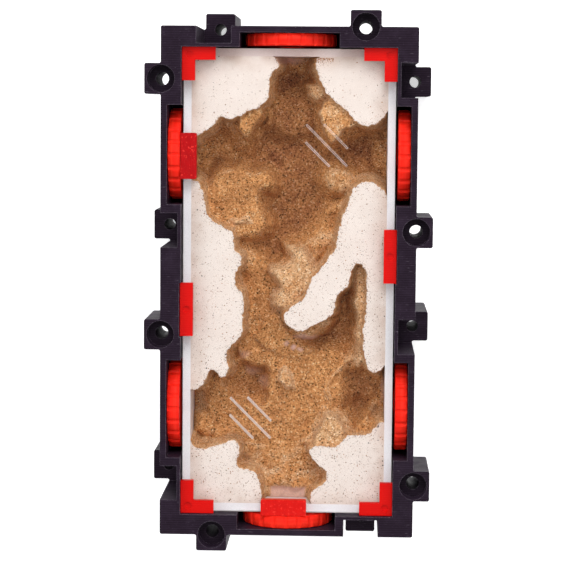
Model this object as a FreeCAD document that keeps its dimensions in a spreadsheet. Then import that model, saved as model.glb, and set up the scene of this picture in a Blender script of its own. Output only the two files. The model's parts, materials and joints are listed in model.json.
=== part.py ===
"""Ant habitat module.

A black frame, one cell wide and two cells long, bolts to its neighbours through lugs on its outer
faces. It holds a glued sheet tray with a plaster bed and a sand floor under a clear cover. A knurled
disc in each port opens and closes the way out, and a shutter can be hung in front of a port.

Millimetres. The frame lies flat: X across, Y along, Z up. The origin is the middle of its base.
"""
import math
import os

import FreeCAD, Part
import Sketcher

SIZES = [
    ("cell", 100, "module cell: the frame is one cell wide and two cells long"),
    ("frame_height", 80, "height of the frame"),
    ("frame_wall", 8, "thickness of the frame's wall"),
    ("corner_round", 0.8, "rounding of the frame's and the lugs' upright corners"),
    ("lug_root_round", 0.7, "rounding where a lug meets the wall"),
    ("lug_pitch", 59, "between the two lug axes of one cell side"),
    ("lug_width", 12, "width of every lug"),
    ("lug_reach", 6.4, "how far a lug stands out of the wall"),
    ("upper_lug_height", 34, "height of the lug that takes the screw's head"),
    ("pocket_depth", 41, "depth of the pocket that takes a neighbour's upper lug"),
    ("mate_gap", 0.8, "clearance beside a neighbour's lug"),
    ("mate_end_gap", 0.3, "clearance past the end of a neighbour's lug"),
    ("head_bore_diameter", 10.8, "sink for the screw's head"),
    ("head_bore_depth", 7, "depth of that sink"),
    ("screw_bore_diameter", 5.2, "clearance hole for the screw"),
    ("thread_bore_diameter", 4.7, "hole that the screw cuts its thread in"),
    ("ledge_width", 4, "how far the tray's ledge stands into the frame"),
    ("ledge_thick", 2, "thickness of that ledge's edge, above its slanting underside"),
    ("disc_radius", 18, "outer radius of a port disc"),
    ("disc_thick", 4.8, "thickness of a port disc"),
    ("disc_axis_depth", 19, "disc axis below the top of the frame"),
    ("disc_gap", 1.4, "clearance round a disc"),
    ("disc_side_gap", 0.2, "clearance between a disc and the skin behind it"),
    ("disc_bevel", 0.5, "bevel of a disc's edges"),
    ("skin", 2.4, "outer skin of the wall behind a disc"),
    ("boss_radius", 3, "boss that a disc turns on"),
    ("running_gap", 0.05, "running clearance between boss and disc"),
    ("flute_count", 22, "grooves round a disc's rim"),
    ("flute_radius", 1.1, "radius of a groove"),
    ("flute_depth", 0.6, "depth of a groove"),
    ("port_drop", 10.5, "port axis below the disc axis"),
    ("port_radius", 4.5, "radius of a port"),
    ("sheet_thick", 3, "thickness of the tray's sheets"),
    ("tray_gap", 0.5, "clearance between tray and frame"),
    ("tray_drop", 8, "top of the tray below the top of the frame"),
    ("tray_height", 45, "outer height of the tray"),
    ("bed_gap", 0.1, "plaster below the cover"),
    ("sand_thick", 2, "sand in front of a port"),
    ("port_dip", 3, "how far the sand dips in front of a port"),
    ("dip_reach", 6, "how far that dip reaches in from the tray wall"),
    ("dip_gap", 1, "how far that dip reaches past the port on each side"),
    ("flank_thick", 0.8, "thickness of the sand on the plaster's flanks"),
    ("flank_drop", 0.5, "top of that sand below the top of the plaster"),
    ("cover_thick", 3, "thickness of the clear cover"),
    ("slit_width", 0.5, "width of a vent slit"),
    ("slit_pitch", 5, "between neighbouring slits"),
    ("long_slit", 22.4, "length of the middle slit of a vent"),
    ("short_slit", 13, "length of a vent's outer slits"),
    ("vent_across", 14.6, "vent beside the cover's middle"),
    ("vent_along", 54, "vent from the cover's middle"),
    ("clip_thick", 2.5, "thickness of a clip"),
    ("clip_width", 5, "width of a clip"),
    ("clip_gap", 0.1, "clearance between a corner clip and the frame"),
    ("corner_clip_leg", 13, "length of a corner clip's leg"),
    ("side_clip_length", 21, "length of a side clip"),
    ("side_clip_shift", 10.8, "side clip from the frame's middle"),
    ("side_recess", 0.6, "recess in the frame's wall for a side clip"),
    ("side_recess_gap", 0.2, "clearance of a side clip in its recess"),
    ("dimple_radius", 1.5, "radius of a clip's dimple"),
    ("dimple_depth", 0.8, "depth of a clip's dimple"),
    ("dimple_inset", 2.9, "corner clip's dimple from its outer edges"),
    ("shutter_thick", 0.8, "thickness of a shutter's blade"),
    ("shutter_gap", 0.15, "clearance between a shutter's blade and the tray"),
    ("shutter_width", 12, "width of a shutter's blade"),
    ("shutter_lap", 1.2, "how far the blade reaches below the port"),
    ("head_length", 18, "length of a shutter's head"),
    ("head_width", 6.4, "width of a shutter's head"),
    ("head_thick", 3, "thickness of a shutter's head"),
    ("head_round", 0.7, "rounding of a shutter's head"),
]

# Places worked out from the sizes, as expressions.
TOP = "sizes.frame_height"
HALF_WIDTH = "(sizes.cell / 2)"
HALF_LENGTH = "sizes.cell"
HALF_CELL = "(sizes.cell / 2)"
HALF_PITCH = "(sizes.lug_pitch / 2)"
HALF_LUG = "(sizes.lug_width / 2)"
HALF_POCKET = "(sizes.lug_width / 2 + sizes.mate_gap)"
POCKET_REACH = "(sizes.lug_reach + sizes.mate_end_gap)"
AXIS_Z = "(sizes.frame_height - sizes.disc_axis_depth)"
PORT_Z = f"({AXIS_Z} - sizes.port_drop)"
TRAY_TOP = "(sizes.frame_height - sizes.tray_drop)"
TRAY_BASE = f"({TRAY_TOP} - sizes.tray_height)"
LEDGE_ROOT = f"({TRAY_BASE} - sizes.ledge_thick - sizes.ledge_width)"
FLOOR_TOP = f"({TRAY_BASE} + sizes.sheet_thick)"
SAND_TOP = f"({PORT_Z} - sizes.port_radius)"
SLAB_TOP = f"({SAND_TOP} - sizes.sand_thick)"
BED_TOP = f"({TRAY_TOP} - sizes.bed_gap)"
COVER_TOP = f"({TRAY_TOP} + sizes.cover_thick)"
TRAY_INSET = "(sizes.frame_wall + sizes.tray_gap)"
INNER_INSET = f"({TRAY_INSET} + sizes.sheet_thick)"
PAST = "1"  # how far a cutting tool runs past the face it opens
ABOVE = f"({TOP} + {PAST})"

# Each port: its name, the turn of its wall, the wall's distance from the middle, and its place along
# the wall, where along runs anticlockwise seen from above.
PORTS = [
    ("right_back", 0, HALF_WIDTH, HALF_CELL),
    ("right_front", 0, HALF_WIDTH, f"-{HALF_CELL}"),
    ("back", 90, HALF_LENGTH, "0"),
    ("left_front", 180, HALF_WIDTH, HALF_CELL),
    ("left_back", 180, HALF_WIDTH, f"-{HALF_CELL}"),
    ("front", 270, HALF_LENGTH, "0"),
]
# The ports with a shutter, and how far along the wall each shutter hangs from the port's middle.
SHUTTERED = {"left_back": 0.5, "front": -1.1}
WALLS = [
    ("right", 0, HALF_WIDTH),
    ("back", 90, HALF_LENGTH),
    ("left", 180, HALF_WIDTH),
    ("front", 270, HALF_LENGTH),
]

# The plaster that stands up to the cover. Each outline runs from one tray wall to the next. Corner
# outlines are measured in from the side wall and the end wall, side outlines in from the side wall
# and along from the middle of the tray.
CORNER_BANKS = [
    ("left_back", -1, 1, [(31.5, 0), (34, 4), (31.5, 6), (30.5, 13), (27.5, 19), (20, 22.5), (14, 24.5),
                          (11, 24), (10, 25.5), (6.5, 28.5), (0, 33)]),
    ("right_back", 1, 1, [(21.5, 0), (28.5, 2), (27, 8), (23, 15.5), (17.5, 19.5), (13, 24.5), (8, 27),
                          (5, 26), (2.5, 24), (0, 20.5)]),
    ("right_front", 1, -1, [(28.5, 0), (28, 5.5), (23, 9.5), (22.5, 11.5), (26, 15.5), (29, 22), (26.5, 23),
                            (18.5, 23.5), (14.5, 27.5), (8, 27.5), (5.5, 29), (2, 32.5), (0, 33)]),
    ("left_front", -1, -1, [(27.5, 0), (27.5, 9), (25, 12.5), (18.5, 15), (19.5, 21.5), (19, 24), (10.5, 23),
                            (0, 25)]),
]
SIDE_BANKS = [
    ("right", 1, [(0, 32), (2.5, 37.5), (8.5, 40), (13.5, 36.5), (16, 29), (19, 20), (20, 14), (24, 8),
                  (29.5, 0), (33, -7), (39, -11.5), (40, -13.5), (37.5, -18), (34, -19.5), (27, -16.5),
                  (21, -12), (19, -5), (15.5, -1.5), (13.5, 5), (11.5, 7.5), (9.5, 7), (7.5, 0), (7.5, -9),
                  (8.5, -19), (8, -30), (6, -34.5), (4.5, -35.5), (2, -34.5), (0, -32.5)]),
    ("left", -1, [(0, 40), (2.5, 39), (5, 32.5), (7, 25.5), (12.5, 21.5), (16.5, 18.5), (17.5, 12.5),
                  (19.5, 10.5), (17.5, 1), (20.5, -6), (20.5, -11), (19.5, -22), (14.5, -28), (15, -34.5),
                  (13.5, -38), (8, -35.5), (5, -41), (3, -43), (0, -43)]),
]

# The form of the sand. Side and end say what an outline is measured from: 1 is in from the right or back
# tray wall, -1 in from the left or front one, and 0 is from the middle of the tray. A shelf has a level
# top and falls to the floor all round, over a strip half inside and half outside its outline.
# Name, side, end, top below the top of the plaster, width of that strip, outline.
SHELVES = [
    ("lower_chamber", 0, 0, 14.9, 4, [(-39, -42), (-24, -34), (-18, -26), (22, -28), (28, -36), (20, -62),
                                      (10, -90), (-8, -90), (-14, -70), (-39, -64)]),
    ("left_passage", -1, 0, 14.4, 4, [(18.5, 20), (26.5, 10), (34.5, 4), (36.5, -8), (34.5, -22),
                                      (36.5, -34), (16.5, -34), (14.5, -12), (18.5, 0), (14.5, 14)]),
    ("tongue_foot", 0, 0, 11.9, 3, [(-12, -14), (-4, -10), (0, -18), (6, -24), (14, -30), (2, -34),
                                    (-10, -30), (-16, -24)]),
    ("lobe", 0, 1, 14.4, 3.5, [(-6.5, 13.5), (-9, 20.5), (-9.5, 27), (-7, 31.5), (-2.5, 34.5), (3, 35),
                               (9, 32), (11, 26.5), (11, 20), (9, 15.5), (2, 12)]),
    ("neck_spot", 1, 1, 5.9, 2.5, [(31, 11.5), (27.5, 9.5), (24.5, 13.5), (24.5, 17.5), (30.5, 16)]),
    ("left_mound", -1, 0, 8.9, 3, [(-0.5, 34), (5, 38), (8, 42), (12.5, 44), (18.5, 44.5), (29.5, 43.5),
                                   (34, 38), (28, 33), (31.5, 21), (29.5, 17.5), (20.5, 16), (14.5, 18),
                                   (-0.5, 26)]),
    ("left_crown", -1, 0, 6.4, 4, [(11.5, 24), (15.5, 27), (22.5, 27), (26.5, 24), (26.5, 20), (16.5, 20)]),
    ("right_tan", 1, 0, 10.4, 4.5, [(22.5, 44), (17, 45), (11.5, 40), (10.5, 36), (16.5, 33), (24, 39.5)]),
    ("right_slope", 1, 0, 11.9, 5, [(33.5, 15), (27, 20), (22.5, 30), (14.5, 34), (12.5, 26), (19.5, 14),
                                    (28, 3.5), (32, 6.5)]),
    ("ridge", 1, 0, 5.9, 3.5, [(48, 4), (44, 6.5), (40, 8.5), (39.5, 14), (35.5, 15), (32.5, 7),
                               (29.5, 3.5), (32.5, -1), (39.5, -10), (42, -8), (44, -1.5)]),
    ("inlet_border", 1, 0, 10.9, 3, [(9.5, 8), (2.5, 8), (2.5, -34), (8.5, -32)]),
    ("middle_front", 0, 0, 8.4, 2.5, [(-5.5, -35), (-2, -33.5), (1.5, -37.5), (4, -45), (-1.5, -45.5),
                                      (-6, -41)]),
    ("curved_ridge", 1, 0, 9.9, 3.5, [(8.5, -29), (14.5, -30.5), (22.5, -36), (25.5, -44), (24.5, -52),
                                      (29.5, -60), (40.5, -67.5), (39.5, -71), (30.5, -68), (23.5, -61),
                                      (19.5, -52), (20.5, -44), (17.5, -37.5), (10.5, -33)]),
    ("chamber_left", -1, 0, 16.4, 3, [(-0.5, -44), (8.5, -38), (14.5, -46), (24.5, -54), (26.5, -62),
                                      (-0.5, -64)]),
    ("lower_neck", 0, -1, 13.4, 3, [(-13, 26.5), (8, 26.5), (14, 12.5), (10, -1.5), (-12, -1.5),
                                    (-14, 12.5)]),
    ("right_shoulder", 1, -1, 5.9, 2, [(11.5, 31.5), (4.5, 37.5), (-0.5, 39.5), (-0.5, 26.5), (12.5, 24.5)]),
]
# Name, side, end, bottom and brim below the top of the plaster, width of the slope, outline.
PITS = [
    ("left", -1, 0, 22.9, 14.4, 2.5, [(14, -37), (20, -33.5), (32, -32.5), (29.5, -47), (27, -51),
                                      (22.5, -49), (16.5, -47), (13, -42.5)]),
    ("right", 1, 0, 24.4, 5.9, 3.5, [(15.5, -38), (9, -35), (-0.5, -42), (-0.5, -50), (11.5, -49),
                                     (14.5, -44.5)]),
]
# Ledges are crusts of sand with a broken, upright edge. Name, side, end, top below the top of the
# plaster, outline.
LEDGES = [
    ("left_back", -1, 1, 2.3, [(23.5, 16.5), (28, 18.5), (28.5, 22), (25, 29.5), (22.5, 33.5), (18, 29),
                               (16.5, 20.5)]),
    ("right_back", 1, 1, 2.3, [(26, 18), (27.5, 22), (25.5, 26.5), (24.5, 32), (22, 34.5), (15.5, 28.5),
                               (8.5, 26.5), (14.5, 18.5), (22.5, 12.5)]),
    ("right_front", 1, -1, 2.5, [(22.5, 36), (18.5, 34.5), (15, 29), (14.5, 22.5), (22.5, 19.5),
                                 (29.5, 22.5), (28.5, 27.5), (25.5, 32.5)]),
]

doc = FreeCAD.newDocument("ant_habitat")


def make_sheet():
    """Puts the driving sizes in a spreadsheet, one alias each."""
    sheet = doc.addObject("Spreadsheet::Sheet", "sizes")
    for row, (alias, size, meaning) in enumerate(SIZES, start=1):
        sheet.set(f"A{row}", alias)
        sheet.set(f"B{row}", str(size))
        sheet.set(f"C{row}", meaning)
        sheet.setAlias(f"B{row}", alias)
    doc.recompute()
    return sheet


sheet = make_sheet()


def value(expression):
    """The number that an expression of the sheet's sizes stands for."""
    return float(sheet.evalExpression(expression.replace("sizes.", "")))


def bind(thing, **expressions):
    for name, expression in expressions.items():
        thing.setExpression(name, expression)
    return thing


def place(thing, x, y, z, rotation=FreeCAD.Rotation()):
    """Turns a thing and ties its base point to the sizes."""
    thing.Placement = FreeCAD.Placement(FreeCAD.Vector(), rotation)
    thing.setExpression("Placement.Base.x", x)
    thing.setExpression("Placement.Base.y", y)
    thing.setExpression("Placement.Base.z", z)
    return thing


def about_z(turn):
    return FreeCAD.Rotation(FreeCAD.Vector(0, 0, 1), turn)


def facing(turn):
    """The rotation that takes Z to a wall's outward normal and keeps Y up."""
    along = about_z(turn).multVec(FreeCAD.Vector(0, 1, 0))
    outward = about_z(turn).multVec(FreeCAD.Vector(1, 0, 0))
    return FreeCAD.Rotation(along, FreeCAD.Vector(0, 0, 1), outward, "ZXY")


def wall_point(turn, out, along):
    """X and Y of a point that is out from the middle and along the wall, for a wall at that turn."""
    return {
        0: (out, along),
        90: (f"-({along})", out),
        180: (f"-({out})", f"-({along})"),
        270: (along, f"-({out})"),
    }[turn]


def block(name, turn, out, along, z):
    """A box given by its low and high limits out of the middle, along the wall and in height."""
    box = doc.addObject("Part::Box", name)
    for side, (low, high) in (("Length", out), ("Width", along), ("Height", z)):
        box.setExpression(side, f"{high} - ({low})")
    return place(box, *wall_point(turn, out[0], along[0]), z[0], about_z(turn))


def bar(name, turn, out, along, z, radius):
    """A cylinder that runs out through a wall."""
    cylinder = doc.addObject("Part::Cylinder", name)
    bind(cylinder, Radius=radius, Height=f"{out[1]} - ({out[0]})")
    return place(cylinder, *wall_point(turn, out[0], along), z, facing(turn))


def post(name, turn, out, along, z, radius):
    """An upright cylinder."""
    cylinder = doc.addObject("Part::Cylinder", name)
    bind(cylinder, Radius=radius, Height=f"{z[1]} - ({z[0]})")
    return place(cylinder, *wall_point(turn, out, along), z[0])


def fuse(name, shapes):
    joined = doc.addObject("Part::MultiFuse", name)
    joined.Shapes = shapes
    joined.Refine = True
    return joined


def cut(name, base, tools):
    """Base less all the tools."""
    result = doc.addObject("Part::Cut", name)
    result.Base = base
    result.Tool = tools[0] if len(tools) == 1 else fuse(f"{name}_tools", tools)
    result.Refine = True
    return result


def around(middle, half):
    """Low and high limits about a middle."""
    return f"{middle} - {half}", f"{middle} + {half}"


# ---------------------------------------------------------------- frame


def ring_block(name, inset, z):
    """A block that stays a set distance inside the frame's outer faces."""
    across = (f"-{HALF_WIDTH} + {inset}", f"{HALF_WIDTH} - {inset}")
    length = (f"-{HALF_LENGTH} + {inset}", f"{HALF_LENGTH} - {inset}")
    return block(name, 0, across, length, z)


def ledge_slope():
    """The space under the ledge, which narrows upwards at 45 degrees so that the ledge prints unsupported."""
    slope = doc.addObject("Part::Wedge", "ledge_slope")
    for name, half in (("X", HALF_WIDTH), ("Z", HALF_LENGTH)):
        wide, narrow = f"{half} - sizes.frame_wall", f"{half} - sizes.frame_wall - sizes.ledge_width"
        bind(slope, **{f"{name}min": f"-({wide})", f"{name}max": wide,
                       f"{name}2min": f"-({narrow})", f"{name}2max": narrow})
    bind(slope, Ymin="0", Ymax="sizes.ledge_width")
    return place(slope, "0", "0", LEDGE_ROOT, FreeCAD.Rotation(FreeCAD.Vector(1, 0, 0), 90))


def lug_tools(port, turn, wall, along):
    """Lugs that one cell side adds to the frame, and the pockets and holes that it cuts."""
    upper, lower = f"{along} - {HALF_PITCH}", f"{along} + {HALF_PITCH}"
    lug_out = (f"{wall} - {POCKET_REACH} / 2", f"{wall} + sizes.lug_reach")
    pocket_out = (f"{wall} - {POCKET_REACH}", f"{wall} + sizes.lug_reach + {PAST}")
    lug_base = f"{TOP} - sizes.upper_lug_height"
    pocket_floor = f"{TOP} - sizes.pocket_depth"
    head_seat = f"{TOP} - sizes.head_bore_depth"
    added = [
        block(f"upper_lug_{port}", turn, lug_out, around(upper, HALF_LUG), (lug_base, TOP)),
        block(f"lower_lug_{port}", turn, lug_out, around(lower, HALF_LUG), ("0", pocket_floor)),
    ]
    removed = [
        block(f"pocket_{port}", turn, pocket_out, around(lower, HALF_POCKET), (pocket_floor, ABOVE)),
        block(f"recess_{port}", turn, pocket_out, around(upper, HALF_POCKET), (f"-{PAST}", lug_base)),
        post(f"head_bore_{port}", turn, wall, upper, (head_seat, ABOVE), "sizes.head_bore_diameter / 2"),
        post(f"screw_bore_{port}", turn, wall, upper, (f"-{PAST}", ABOVE), "sizes.screw_bore_diameter / 2"),
        post(f"thread_bore_{port}", turn, wall, lower, (f"-{PAST}", ABOVE), "sizes.thread_bore_diameter / 2"),
    ]
    return added, removed


def disc_tools(port, turn, wall, along):
    """The pocket that a disc turns in, the port through the skin, and the boss the disc turns on."""
    skin_inside = f"{wall} - sizes.skin"
    wall_inside = f"{wall} - sizes.frame_wall - {PAST}"
    disc_inside = f"{skin_inside} - sizes.disc_side_gap - sizes.disc_thick"
    radius = "(sizes.disc_radius + sizes.disc_gap)"
    removed = [
        bar(f"disc_pocket_{port}", turn, (wall_inside, skin_inside), along, AXIS_Z, radius),
        block(f"disc_mouth_{port}", turn, (wall_inside, skin_inside), around(along, radius), (AXIS_Z, ABOVE)),
        bar(f"port_bore_{port}", turn, (wall_inside, f"{wall} + {PAST}"), along, PORT_Z, "sizes.port_radius"),
    ]
    boss_out = (disc_inside, f"{wall} - sizes.skin / 2")
    boss = bar(f"boss_{port}", turn, boss_out, along, AXIS_Z, "sizes.boss_radius")
    return boss, removed


def upright_edges(shape, spots):
    """Names of the straight upright edges that stand at any of these points."""
    names = []
    for number, edge in enumerate(shape.Edges, start=1):
        low, high = edge.BoundBox.ZMin, edge.BoundBox.ZMax
        middle = edge.CenterOfMass
        upright = abs(high - low - edge.Length) < 1e-4
        if upright and any(abs(middle.x - x) + abs(middle.y - y) < 0.01 for x, y in spots):
            names.append(f"Edge{number}")
    return names


def spot(turn, out, along):
    """A wall point as two numbers."""
    return tuple(value(place) for place in wall_point(turn, out, along))


def rounded(body, name, spots, radius):
    """Rounds the upright edges at those points."""
    base = body.Tip
    fillet = body.newObject("PartDesign::Fillet", name)
    fillet.Base = (base, upright_edges(base.Shape, spots))
    fillet.setExpression("Radius", radius)
    body.Tip = fillet
    doc.recompute()


def make_frame():
    shell = ring_block("frame_block", "0", ("0", TOP))
    tray_space = ring_block("tray_space", "sizes.frame_wall", (TRAY_BASE, ABOVE))
    ledge_space = ring_block(
        "ledge_space", "(sizes.frame_wall + sizes.ledge_width)", (f"-{PAST}", f"{TRAY_BASE} + {PAST}"))
    bay = ring_block("bay_space", "sizes.frame_wall", (f"-{PAST}", LEDGE_ROOT))
    lugs, bosses, tools = [], [], [tray_space, ledge_space, bay, ledge_slope()]
    for port, turn, wall, along in PORTS:
        added, removed = lug_tools(port, turn, wall, along)
        boss, disc_removed = disc_tools(port, turn, wall, along)
        lugs += added
        bosses.append(boss)
        tools += removed + disc_removed
    wall_inside = f"{HALF_WIDTH} - sizes.frame_wall"
    recess_sides = around("sizes.side_clip_shift", "(sizes.side_clip_length / 2 + sizes.side_recess_gap)")
    for side, turn in (("right", 0), ("left", 180)):
        recess_out = (f"{wall_inside} - {PAST}", f"{wall_inside} + sizes.side_recess")
        tools.append(block(f"clip_recess_{side}", turn, recess_out, recess_sides, (TRAY_TOP, ABOVE)))
    hollow = cut("frame_shell", fuse("frame_solid", [shell] + lugs), tools)
    core = fuse("frame_core", [hollow] + bosses)
    doc.recompute()

    body = doc.addObject("PartDesign::Body", "frame")
    body.BaseFeature = core
    doc.recompute()
    corners = [(x * value(HALF_WIDTH), y * value(HALF_LENGTH)) for x in (1, -1) for y in (1, -1)]
    roots = []
    for port, turn, wall, along in PORTS:
        for middle in (f"{along} - {HALF_PITCH}", f"{along} + {HALF_PITCH}"):
            for side in around(middle, HALF_LUG):
                corners.append(spot(turn, f"{wall} + sizes.lug_reach", side))
                roots.append(spot(turn, wall, side))
    rounded(body, "lug_roots", roots, "min(sizes.lug_root_round; 0.9 * sizes.mate_gap)")
    rounded(body, "upright_corners", corners, "sizes.corner_round")
    return body


# ---------------------------------------------------------------- port discs


def circle_sketch(body, name, circles):
    """A sketch on the body's XY plane of circles, each a radius and how far below the origin it is."""
    plane = next(f for f in body.Origin.OriginFeatures if f.Role == "XY_Plane")
    sketch = body.newObject("Sketcher::SketchObject", name)
    sketch.AttachmentSupport = (plane, [""])
    sketch.MapMode = "FlatFace"
    for number, (radius, drop) in enumerate(circles):
        size, fall = value(radius), value(drop)
        sketch.addGeometry(Part.Circle(FreeCAD.Vector(0, -fall, 0), FreeCAD.Vector(0, 0, 1), size))
        first = sketch.addConstraint(Sketcher.Constraint("Radius", number, size))
        sketch.setExpression(f"Constraints[{first}]", radius)
        if fall == 0:
            sketch.addConstraint(Sketcher.Constraint("Coincident", number, 3, -1, 1))
        else:
            sketch.addConstraint(Sketcher.Constraint("PointOnObject", number, 3, -2))
            second = sketch.addConstraint(Sketcher.Constraint("DistanceY", number, 3, -1, 1, fall))
            sketch.setExpression(f"Constraints[{second}]", drop)
    return sketch


def pocket_through(body, name, sketch):
    """Cuts a sketch through the disc, and checks that it cut something."""
    before = body.Shape.Volume
    pocket = body.newObject("PartDesign::Pocket", name)
    pocket.Profile = sketch
    pocket.Type = "ThroughAll"
    pocket.Reversed = True
    doc.recompute()
    if body.Shape.Volume > before - 1:
        raise RuntimeError(f"{name} cuts nothing")
    return pocket


def make_disc(port, turn, wall, along):
    """A fluted disc with a hub bore and an off-centre port, as if printed flat."""
    body = doc.addObject("PartDesign::Body", f"disc_{port}")
    pad = body.newObject("PartDesign::Pad", f"disc_plate_{port}")
    pad.Profile = circle_sketch(body, f"disc_rim_{port}", [("sizes.disc_radius", "0")])
    pad.setExpression("Length", "sizes.disc_thick")
    doc.recompute()
    bevel = body.newObject("PartDesign::Chamfer", f"disc_bevel_{port}")
    rims = [f"Edge{n}" for n, e in enumerate(pad.Shape.Edges, start=1) if e.Closed]
    bevel.Base = (pad, rims)
    bevel.setExpression("Size", "sizes.disc_bevel")
    doc.recompute()
    holes = circle_sketch(body, f"disc_holes_{port}", [
        ("sizes.boss_radius + sizes.running_gap", "0"), ("sizes.port_radius", "sizes.port_drop")])
    pocket_through(body, f"disc_bores_{port}", holes)
    groove = circle_sketch(body, f"disc_groove_{port}", [
        ("sizes.flute_radius", "sizes.disc_radius + sizes.flute_radius - sizes.flute_depth")])
    flute = pocket_through(body, f"disc_flute_{port}", groove)
    pattern = body.newObject("PartDesign::PolarPattern", f"disc_flutes_{port}")
    pattern.Originals = [flute]
    pattern.Axis = (next(f for f in body.Origin.OriginFeatures if f.Role == "Z_Axis"), [""])
    pattern.Angle = 360
    pattern.setExpression("Occurrences", "sizes.flute_count")
    body.Tip = pattern
    inside = f"{wall} - sizes.skin - sizes.disc_side_gap - sizes.disc_thick"
    return place(body, *wall_point(turn, inside, along), AXIS_Z, facing(turn))


# ---------------------------------------------------------------- tray, plaster and sand


def make_tray():
    """A floor sheet with four wall sheets standing on it, each wall with a window at every port."""
    floor = ring_block("tray_floor", TRAY_INSET, (TRAY_BASE, FLOOR_TOP))
    made = [floor]
    for side, turn, wall in WALLS:
        ends = HALF_LENGTH if wall == HALF_WIDTH else HALF_WIDTH
        inset = TRAY_INSET if wall == HALF_WIDTH else INNER_INSET
        sheet_block = block(
            f"tray_sheet_{side}", turn, (f"{wall} - {INNER_INSET}", f"{wall} - {TRAY_INSET}"),
            (f"-{ends} + {inset}", f"{ends} - {inset}"), (FLOOR_TOP, TRAY_TOP))
        window_out = (f"{wall} - {INNER_INSET} - {PAST}", f"{wall} - {TRAY_INSET} + {PAST}")
        windows = [
            bar(f"window_{port}", turn, window_out, along, PORT_Z, "sizes.port_radius")
            for port, port_turn, port_wall, along in PORTS if port_turn == turn]
        made.append(cut(f"tray_wall_{side}", sheet_block, windows))
    return made


def inner_half():
    """Half the width and half the length between the tray's walls."""
    return value(f"{HALF_WIDTH} - {INNER_INSET}"), value(f"{HALF_LENGTH} - {INNER_INSET}")


def in_tray(side, end, outline):
    """An outline's points, each measured from the walls on those sides, or from the middle for 0."""
    half_width, half_length = inner_half()
    return [(side * (half_width - x) if side else x, end * (half_length - y) if end else y)
            for x, y in outline]


def bank_outlines():
    """The free outline of every bank, and the tray's corner behind it, if it has one."""
    half_width, half_length = inner_half()
    outlines = [(in_tray(side, end, outline), [(side * half_width, end * half_length)])
                for _, side, end, outline in CORNER_BANKS]
    return outlines + [(in_tray(side, 0, outline), []) for _, side, outline in SIDE_BANKS]


def bank_wire(points, closing, z):
    """A free outline at one height, closed along the straight tray walls behind it."""
    outline = Part.BSplineCurve()
    outline.interpolate([FreeCAD.Vector(x, y, z) for x, y in points])
    back = Part.makePolygon([FreeCAD.Vector(x, y, z) for x, y in [points[-1]] + closing + [points[0]]])
    return Part.Wire([outline.toShape()] + back.Edges)


def tray_box(low, high):
    half_width, half_length = inner_half()
    corner = FreeCAD.Vector(-half_width, -half_length, low)
    return Part.makeBox(2 * half_width, 2 * half_length, high - low, corner)


def make_plaster():
    """A slab that fills the tray up to the sand, and the banks that stand on it."""
    low, slab_top, high = value(FLOOR_TOP), value(SLAB_TOP), value(BED_TOP)
    upwards = FreeCAD.Vector(0, 0, high - slab_top)
    banks = [Part.Face(bank_wire(*bank, slab_top)).extrude(upwards) for bank in bank_outlines()]
    bed = doc.addObject("Part::Feature", "plaster_bed")
    bed.Shape = tray_box(low, slab_top).multiFuse(banks).common(tray_box(low, high)).removeSplitter()
    return bed


def feature(name, shape):
    """An object of the document that holds a shape made in code."""
    made = doc.addObject("Part::Feature", name)
    made.Shape = shape
    return made


def ring_area(ring):
    """Twice the area of a closed outline, positive where it runs anticlockwise."""
    return sum(xa * yb - xb * ya for (xa, ya), (xb, yb) in zip(ring, ring[1:] + ring[:1]))


def widened(outline, distance):
    """An outline with every edge moved outwards by a distance, or inwards if it is negative."""
    reach = math.copysign(1, ring_area(outline)) * distance
    moved = []
    for n, (x, y) in enumerate(outline):
        (xa, ya), (xb, yb) = outline[n - 1], outline[(n + 1) % len(outline)]
        before, after = math.atan2(y - ya, x - xa), math.atan2(yb - y, xb - x)
        half_turn = (after - before + math.pi) % (2 * math.pi) / 2 - math.pi / 2
        outwards = before + half_turn - math.pi / 2
        shift = reach / math.cos(half_turn)
        moved.append((x + shift * math.cos(outwards), y + shift * math.sin(outwards)))
    return moved


def frustum(low_outline, low, high_outline, high):
    """A solid with flat sides between two level outlines of as many points each."""
    lower = [FreeCAD.Vector(x, y, low) for x, y in low_outline]
    upper = [FreeCAD.Vector(x, y, high) for x, y in high_outline]
    rings = [lower, upper]
    for n in range(len(lower)):
        rings.append([lower[n - 1], lower[n], upper[n], upper[n - 1]])
    solid = Part.Solid(Part.Shell([Part.Face(Part.makePolygon(ring + ring[:1])) for ring in rings]))
    if solid.Volume < 0:
        solid.reverse()
    return solid


def make_shelf(name, side, end, drop, strip, outline):
    """A heap with a level top, which keeps half of its strip so that a narrow shelf has a top too."""
    outline = in_tray(side, end, outline)
    foot, crown = widened(outline, strip / 2), widened(outline, -strip / 4)
    return feature(f"shelf_{name}", frustum(foot, value(SAND_TOP), crown, value(BED_TOP) - drop))


def make_pit(name, side, end, depth, brim, strip, outline):
    """The space of a pit, from its bottom up to its brim."""
    outline = in_tray(side, end, outline)
    bottom, mouth = widened(outline, -strip / 2), widened(outline, strip / 2)
    return feature(f"pit_{name}", frustum(bottom, value(BED_TOP) - depth, mouth, value(BED_TOP) - brim))


def make_dip(port, turn, wall, along):
    """The space dug out of the sand in front of a port, down to the port's lower edge."""
    out = (f"{wall} - {INNER_INSET} - sizes.dip_reach", f"{wall} - {INNER_INSET} + {PAST}")
    return block(f"dip_{port}", turn, out, around(along, "(sizes.port_radius + sizes.dip_gap)"),
                 (SAND_TOP, BED_TOP))


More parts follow.
